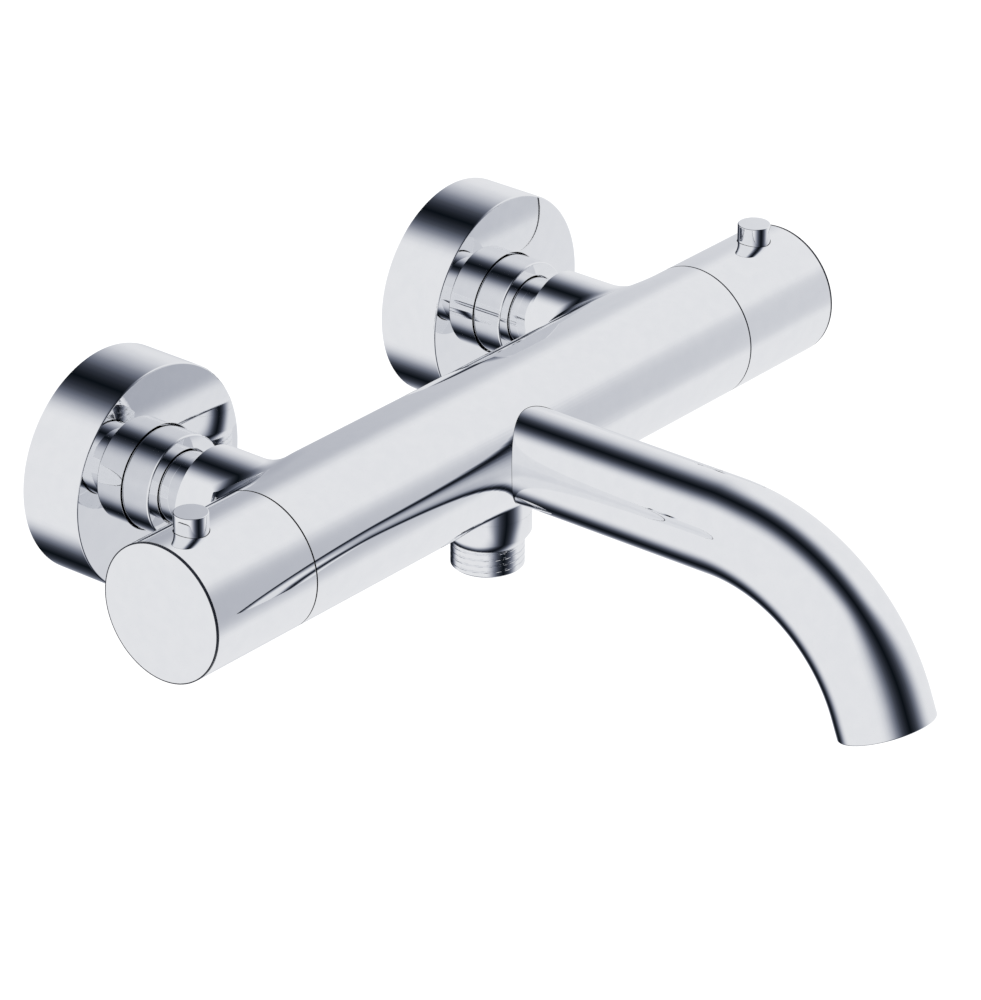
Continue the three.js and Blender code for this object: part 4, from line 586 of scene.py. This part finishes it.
def thread_radius(height, start, end):
    """A helical thread's radius round its axis at one height. The groove runs out at both ends."""
    room = max(min((height - start) / THREAD_RUNOUT, (end - height) / THREAD_RUNOUT, 1), 0)

    def radius(angle):
        phase = ((height - start) / THREAD_PITCH - angle / (2 * math.pi)) % 1
        ridge = min(THREAD_FLANK * (1 - abs(2 * phase - 1)), 1)
        return THREAD_RADIUS - THREAD_DEPTH * (1 - ridge) * room

    return radius


def thread_outline(start, end):
    rows = max(int((end - start) / THREAD_PITCH * THREAD_ROWS), 2)
    return [(thread_radius(height, start, end), height) for height in np.linspace(start, end, rows)]


def shower_outlet():
    top, end = -OUTLET_HIGH.z, -OUTLET_LOW.z
    seat = -BODY_LOW.z + 0.02 * MM
    start = end - 8 * MM
    bevel, chamfer, edge = 3 * MM, 0.4 * MM, 0.3 * MM
    upper = [
        (PORT_RADIUS, top), (OUTLET_STUB_RADIUS, top), (OUTLET_STUB_RADIUS, seat),
        (OUTLET_NECK_RADIUS, seat), (OUTLET_NECK_RADIUS, start - bevel),
    ]
    tip = [(THREAD_RADIUS - chamfer, end), (PORT_RADIUS + edge, end), (PORT_RADIUS, end - edge)]
    outline = upper + thread_outline(start, end - chamfer) + tip
    made = turned("shower_outlet_neck", outline, DOWN_FROM_BODY)
    return finished(smoothed(made), FIXED, CHROME, "chrome", "shower_outlet")


# ---- Wall connections ----


def escutcheon(side, place):
    """A cup against the wall. The collar inside it holds an O ring on the union nut."""
    low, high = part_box(side + "_escutcheon")
    outer, depth = high.z, -low.y
    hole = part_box(side + "_union_nut")[1].z + 0.4 * MM
    wall, front, collar_depth = 1.4 * MM, 2.4 * MM, 8 * MM
    groove = hole + 1.1 * MM
    collar = groove + 1.2 * MM
    cup = [
        (outer, 0), (outer, depth, 0.45 * MM), (hole, depth, 0.25 * MM), (hole, depth - front),
        (groove, depth - front), (groove, depth - collar_depth), (collar, depth - collar_depth),
        (collar, depth - wall), (outer - wall, depth - wall), (outer - wall, 0),
    ]
    made = turned(side + "_rosette", rounded(cup), place)
    finished(smoothed(made), FIXED, CHROME, "chrome", side + "_escutcheon")


def union_nut(side, place):
    low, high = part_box(side + "_union_nut")
    outer, reach, back = high.z, -low.y, -high.y
    lip, bore, shoulder = 10.85 * MM, 13.55 * MM, 2.3 * MM
    ring = [
        (bore, back), (outer, back), (outer, reach, 0.5 * MM), (lip, reach, 0.3 * MM),
        (lip, reach - shoulder), (bore, reach - shoulder),
    ]
    made = turned(side + "_nut", rounded(ring), place)
    finished(smoothed(made), side + "_union_nut", CHROME, "chrome", side + "_union_nut")


def tailpiece(side, place):
    low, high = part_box(side + "_tailpiece")
    flange, top, end = high.z, -high.y, -low.y
    shank, bore, thickness, port_length = 10.5 * MM, 8.3 * MM, 2.3 * MM, 4 * MM
    outline = [
        (bore, top), (flange, top), (flange, top + thickness), (shank, top + thickness),
        (shank, end), (PORT_RADIUS, end), (PORT_RADIUS, end - port_length), (bore, end - port_length),
    ]
    made = turned(side + "_tail", outline, place)
    finished(smoothed(made), FIXED, CHROME, "chrome", side + "_tailpiece")


def wall_union(side, x, stud_place):
    """Eccentric union: the threaded wall end lies below the stud that takes the union nut."""
    low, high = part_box(side + "_wall_union")
    drop = 6 * MM
    wall_place, flange_place = straight((x, 0, -drop), Y), straight((x, 0, -drop / 2), -Y)
    stud_radius, stud_bore, wall_bore = 13.2 * MM, 8.5 * MM, 6.8 * MM
    flange_radius, flange_back, flange_front, edge = 18 * MM, 3 * MM, 8 * MM, 0.6 * MM
    thread_end, thread_start = high.y, -flange_front + MM
    root = [(0, thread_start), (THREAD_RADIUS, thread_start)]
    tip = [(THREAD_RADIUS - MM, thread_end), (0, thread_end)]
    made = turned(side + "_eccentric", root + thread_outline(0, thread_end - MM) + tip, wall_place)
    flange = [
        (0, flange_back), (flange_radius, flange_back, edge), (flange_radius, flange_front, edge),
        (0, flange_front),
    ]
    made = combined(made, turned("flange", rounded(flange), flange_place), "UNION")
    made = combined(made, rod(stud_radius, flange_front - MM, -low.y, stud_place), "UNION")
    bores = [
        rod(wall_bore, -flange_front - MM, thread_end + MM, wall_place),
        rod(stud_bore, flange_front - 2 * MM, -low.y + MM, stud_place),
    ]
    for bore in bores:
        made = combined(made, bore, "DIFFERENCE")
    finished(smoothed(made), FIXED, CHROME, "chrome", side + "_wall_union")


# ---- Handles ----

SLEEVE_WALL = 1.8 * MM
LEDGE = 1.3 * MM  # how far the ledge that holds the cap stands in from the sleeve's wall
CAP_DISC = 0.6 * MM
CAP_SEAM = 0.1 * MM  # between the cap's disc and the sleeve
CAP_UNDERSIDE = 1.4 * MM
BUTTON_RADIUS = 4.8 * MM


def handle_shape(name):
    """A handle's two ends along the bar, from the middle outwards, its radius and its ledge's radius."""
    low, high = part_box(name + "_handle")
    start, end = sorted((abs(low.x), abs(high.x)))
    return start, end, high.z, high.z - SLEEVE_WALL - LEDGE


def handle_sleeve(name, place, upright):
    start, end, outer, ledge = handle_shape(name)
    inner, seam, ledge_back = outer - SLEEVE_WALL, end - CAP_DISC - CAP_SEAM, end - 3.4 * MM
    sleeve = [
        (inner, start), (outer, start, 0.25 * MM), (outer, seam, 0.05 * MM), (ledge, seam),
        (ledge, ledge_back), (inner, ledge_back),
    ]
    made = turned(name + "_sleeve", rounded(sleeve), place)
    hole = rod(BUTTON_RADIUS + 0.15 * MM, PAST, outer + PAST, upright, SMALL_SIDES)
    made = combined(made, hole, "DIFFERENCE")
    finished(smoothed(made), name + "_handle", CHROME, "chrome", name + "_handle")
    # Painted shade: the sleeve's rim next to the body gets the dark seam chrome in place of the shadow in
    # the gap.
    paint_seam_shade(made, place, outer - 0.3 * MM, outer, start, start + 0.2 * MM)


def handle_cap(name, place):
    """The end cap: a disc over the sleeve's end, with painted shade on its edge, and a skirt that snaps into
    the ledge.
    """
    end, outer, ledge = handle_shape(name)[1:]
    low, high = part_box(name + "_handle_cap")
    skirt_end, under, back = min(abs(low.x), abs(high.x)), end - CAP_UNDERSIDE, end - CAP_DISC
    rim, step = outer - 0.03 * MM, end - 0.03 * MM
    face = rim - 0.33 * MM
    skirt = ledge - 0.3 * MM
    bore = skirt - 1.2 * MM
    cap = [
        (0, end), (face, end), (face, step), (rim, step), (rim, back), (skirt, back), (skirt, skirt_end),
        (bore, skirt_end), (bore, under), (0, under),
    ]
    made = turned(name + "_end_cap", rounded(cap), place)
    finished(smoothed(made), name + "_handle", CHROME, "chrome", name + "_handle_cap")
    # Painted shade: the cap's stepped edge and the seam beside it get the dark seam chrome in place of the
    # shadow in the groove.
    paint_seam_shade(made, place, face - 0.01 * MM, outer, back - CAP_SEAM, end - 0.01 * MM)


def stop_button(name, outward, upright):
    """A peg with a flange under the sleeve and a tooth that runs in the stop ring's slot."""
    low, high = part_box(name + "_stop_button")
    top, foot = high.z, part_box(name + "_button_spring")[0].z + 1.4 * MM
    flange, flange_top = 5.5 * MM, foot + 1.2 * MM
    bore, roof = 2.5 * MM, top - 2.4 * MM
    peg = [
        (0, top), (BUTTON_RADIUS, top, 0.3 * MM), (BUTTON_RADIUS, flange_top), (flange, flange_top),
        (flange, foot), (bore, foot), (bore, roof), (0, roof),
    ]
    made = turned(name + "_peg", rounded(peg), upright, SMALL_SIDES)
    tooth_place = straight((middle_x(name + "_stop_button") - outward * 3.5 * MM, AXIS_Y, 0), Z)
    made = combined(made, rod(0.9 * MM, low.z, foot + MM, tooth_place, SMALL_SIDES), "UNION")
    finished(smoothed(made), name + "_stop_button", CHROME, "chrome", name + "_stop_button")


def handle_set(name, outward):
    place = straight((0, AXIS_Y, 0), X * outward)
    upright = straight((middle_x(name + "_stop_button"), AXIS_Y, 0), Z)
    handle_sleeve(name, place, upright)
    handle_cap(name, place)
    stop_button(name, outward, upright)


# ---- Coil springs ----

COIL_STEPS = 24  # stations in one turn of a coil
WIRE_SIDES = 10


def spring(node, body, axis, wire, turns):
    """A coil in the place of a packed spring, tied to the given body."""
    low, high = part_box(node)
    middle = (low + high) / 2
    start, length = low.dot(axis), (high - low).dot(axis)
    along = Vector(middle - axis * middle.dot(axis))
    place = straight(along, axis)
    radius = (high - low).dot(X) / 2 - wire / 2
    steps, sides = COIL_STEPS * turns, WIRE_SIDES
    points, faces = [], []
    for i in range(steps + 1):
        angle = 2 * math.pi * turns * i / steps
        line, across, other = place(start + wire / 2 + (length - wire) * i / steps)
        outward = across * math.cos(angle) + other * math.sin(angle)
        centre = line + outward * radius
        for j in range(sides):
            turn = 2 * math.pi * j / sides
            points.append(centre + (outward * math.cos(turn) + axis * math.sin(turn)) * (wire / 2))
    for i in range(steps):
        for j in range(sides):
            k = (j + 1) % sides
            faces.append((i * sides + j, (i + 1) * sides + j, (i + 1) * sides + k, i * sides + k))
    faces += [tuple(range(sides)), tuple(range(steps * sides, (steps + 1) * sides))]
    made = mesh_object(node + "_coil", points, faces)
    finished(smoothed(made, 60), body, MATERIALS["steel"], "steel", node)
    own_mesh(made)


def springs():
    for name in ("flow", "temperature"):
        spring(name + "_button_spring", name + "_handle", Z, 0.6 * MM, 5)
    for side in INLETS:
        spring(side + "_check_valve_spring", FIXED, Y, 0.7 * MM, 4)


# ---- Building ----

for subpart in frame["record"]["subparts"]:
    node = frame["nodes"][subpart["node"]]
    node.data.materials.clear()
    node.data.materials.append(MATERIALS[subpart["material_slot"]])

casting()
spout()
aerator_ring()
aerator_grid()
aerator_seal()
shower_outlet()
for wall_side, inlet in INLETS.items():
    to_room = straight((inlet, 0, 0), -Y)
    escutcheon(wall_side, to_room)
    union_nut(wall_side, to_room)
    tailpiece(wall_side, to_room)
    wall_union(wall_side, inlet, to_room)
handle_set("flow", -1)
handle_set("temperature", 1)
springs()

# ---- Camera, floor and light ----

CAMERA_AZIMUTH = math.radians(-50.6035)
CAMERA_ELEVATION = math.radians(26.5222)
CAMERA_ROLL = math.radians(0.1875)
CAMERA_DISTANCE = 1.53569
CAMERA_TARGET = Vector((0, -0.06, 0))
CAMERA_SHIFT = (12.306 * MM, -20.635 * MM)  # to the right and up, across the view
CAMERA_LENS = 197.93
SENSOR_HEIGHT = 36


def add_camera():
    back = Vector((
        math.sin(CAMERA_AZIMUTH) * math.cos(CAMERA_ELEVATION),
        -math.cos(CAMERA_AZIMUTH) * math.cos(CAMERA_ELEVATION),
        math.sin(CAMERA_ELEVATION),
    ))
    right = Vector((math.cos(CAMERA_AZIMUTH), math.sin(CAMERA_AZIMUTH), 0))
    up = back.cross(right)
    across = right * math.cos(CAMERA_ROLL) + up * math.sin(CAMERA_ROLL)
    upward = up * math.cos(CAMERA_ROLL) - right * math.sin(CAMERA_ROLL)
    place = CAMERA_TARGET + back * CAMERA_DISTANCE + across * CAMERA_SHIFT[0] + upward * CAMERA_SHIFT[1]
    data = bpy.data.cameras.new("camera")
    data.sensor_fit = "VERTICAL"
    data.sensor_height = SENSOR_HEIGHT
    data.lens = CAMERA_LENS
    data.clip_end = 20
    camera = bpy.data.objects.new("camera", data)
    camera.matrix_world = Matrix.Translation(place) @ Matrix((across, upward, back)).transposed().to_4x4()
    bpy.context.scene.collection.objects.link(camera)
    bpy.context.scene.camera = camera


# The studio is two broad soft lights, to the left and the right. Between them a dark band runs over the
# object from the room to the wall and back below it. These set the band's course round the X axis. How
# far a direction leans towards the wall goes from -1 in the room, straight out, to 1 at the wall.
BAND_HALF_WIDTH = 0.685  # radians from the band's middle to full light
BAND_EXTRA_FRONT = 0.42  # how much wider the band is straight in front of the wall
BAND_SHIFT_BACK = 0.29  # how far the band swings to the right at the back
BAND_WIDENS = (0.6, 1.0)  # between which leans into the room the band gets wider
BAND_SWINGS = (0.3, 0.95)  # between which leans towards the wall it swings
FALLOFF = (
    (0.00, (0.003, 0.005, 0.008)),
    (0.10, (0.012, 0.015, 0.021)),
    (0.20, (0.026, 0.031, 0.044)),
    (0.30, (0.058, 0.066, 0.088)),
    (0.40, (0.128, 0.143, 0.187)),
    (0.50, (0.245, 0.262, 0.315)),
    (0.62, (0.450, 0.467, 0.520)),
    (0.75, (0.650, 0.663, 0.700)),
    (0.88, (0.775, 0.783, 0.808)),
    (1.00, (0.820, 0.826, 0.845)),
)


def math_node(tree, operation, *values):
    node = tree.nodes.new("ShaderNodeMath")
    node.operation = operation
    for socket, value in zip(node.inputs, values):
        if isinstance(value, (int, float)):
            socket.default_value = value
        else:
            tree.links.new(value, socket)
    return node.outputs[0]


def eased(tree, value, low, high):
    node = tree.nodes.new("ShaderNodeMapRange")
    node.interpolation_type = "SMOOTHSTEP"
    node.inputs["From Min"].default_value = low
    node.inputs["From Max"].default_value = high
    tree.links.new(value, node.inputs["Value"])
    return node.outputs["Result"]


def studio_world():
    world = bpy.data.worlds.new("studio")
    bpy.context.scene.world = world
    world.use_nodes = True
    tree = world.node_tree
    background = tree.nodes["Background"]
    direction = tree.nodes.new("ShaderNodeSeparateXYZ")
    coordinates = tree.nodes.new("ShaderNodeTexCoord")
    tree.links.new(coordinates.outputs["Generated"], direction.inputs[0])
    x, y, z = (direction.outputs[i] for i in range(3))
    turn = math_node(tree, "ARCSINE", x)
    squares = [math_node(tree, "MULTIPLY", part, part) for part in (y, z)]
    across = math_node(tree, "SQRT", math_node(tree, "ADD", *squares))
    wallward = math_node(tree, "DIVIDE", y, math_node(tree, "MAXIMUM", across, 0.001))
    middle = math_node(tree, "MULTIPLY", eased(tree, wallward, *BAND_SWINGS), BAND_SHIFT_BACK)
    front = eased(tree, math_node(tree, "MULTIPLY", wallward, -1), *BAND_WIDENS)
    width = math_node(tree, "ADD", math_node(tree, "MULTIPLY", front, BAND_EXTRA_FRONT), BAND_HALF_WIDTH)
    away = math_node(tree, "ABSOLUTE", math_node(tree, "SUBTRACT", turn, middle))
    share = math_node(tree, "DIVIDE", away, width)
    colours = tree.nodes.new("ShaderNodeValToRGB")
    elements = colours.color_ramp.elements
    for position, colour in FALLOFF[1:-1]:
        elements.new(position)
    for element, (position, colour) in zip(elements, FALLOFF):
        element.position = position
        element.color = (*colour, 1)
    tree.links.new(share, colours.inputs["Fac"])
    white = tree.nodes.new("ShaderNodeMix")
    white.data_type = "RGBA"
    rays = tree.nodes.new("ShaderNodeLightPath")
    tree.links.new(rays.outputs["Is Camera Ray"], white.inputs["Factor"])
    tree.links.new(colours.outputs["Color"], white.inputs["A"])
    white.inputs["B"].default_value = (1, 1, 1, 1)
    tree.links.new(white.outputs["Result"], background.inputs["Color"])


FLOOR_DROP = 0.3  # the floor's height below the inlets
FLOOR_SIZE = 12.0


def studio_floor():
    """A pale floor that glows like a lit white sweep. Mirrors and views from below see past it."""
    half = FLOOR_SIZE / 2
    corners = [(x, y, -FLOOR_DROP) for x, y in ((-half, -half), (half, -half), (half, half), (-half, half))]
    plane = mesh_object("floor", corners, [(0, 1, 2, 3)])
    material, tree, shader = shader_material("white_sweep")
    pale = ramp(tree, noise(tree, 2).outputs["Fac"], (0.2, 0.2, 0.2), (0.22, 0.22, 0.22))
    tree.links.new(pale, shader.inputs["Base Color"])
    shader.inputs["Roughness"].default_value = 1.0
    shader.inputs["Specular IOR Level"].default_value = 0.0
    shader.inputs["Emission Color"].default_value = (1, 1, 1, 1)
    shader.inputs["Emission Strength"].default_value = 1.0
    below = tree.nodes.new("ShaderNodeNewGeometry")
    clear = tree.nodes.new("ShaderNodeBsdfTransparent")
    mixed = tree.nodes.new("ShaderNodeMixShader")
    tree.links.new(below.outputs["Backfacing"], mixed.inputs["Fac"])
    tree.links.new(shader.outputs["BSDF"], mixed.inputs[1])
    tree.links.new(clear.outputs["BSDF"], mixed.inputs[2])
    tree.links.new(mixed.outputs["Shader"], tree.nodes["Material Output"].inputs["Surface"])
    plane.data.materials.append(material)
    plane.visible_glossy = False


def soft_light(name, place, size, power):
    """A broad light for the pieces that aren't mirrors."""
    data = bpy.data.lights.new(name, "AREA")
    data.shape = "DISK"
    data.size = size
    data.energy = power
    light = bpy.data.objects.new(name, data)
    light.location = place
    light.rotation_euler = (CAMERA_TARGET - Vector(place)).to_track_quat("-Z", "Y").to_euler()
    light.visible_glossy = False
    bpy.context.scene.collection.objects.link(light)


add_camera()
studio_world()
studio_floor()
soft_light("key", (-1.2, -1.0, 1.4), 1.0, 12)
soft_light("fill", (1.4, -0.6, 0.8), 1.2, 6)
bpy.context.scene.view_settings.view_transform = "Standard"
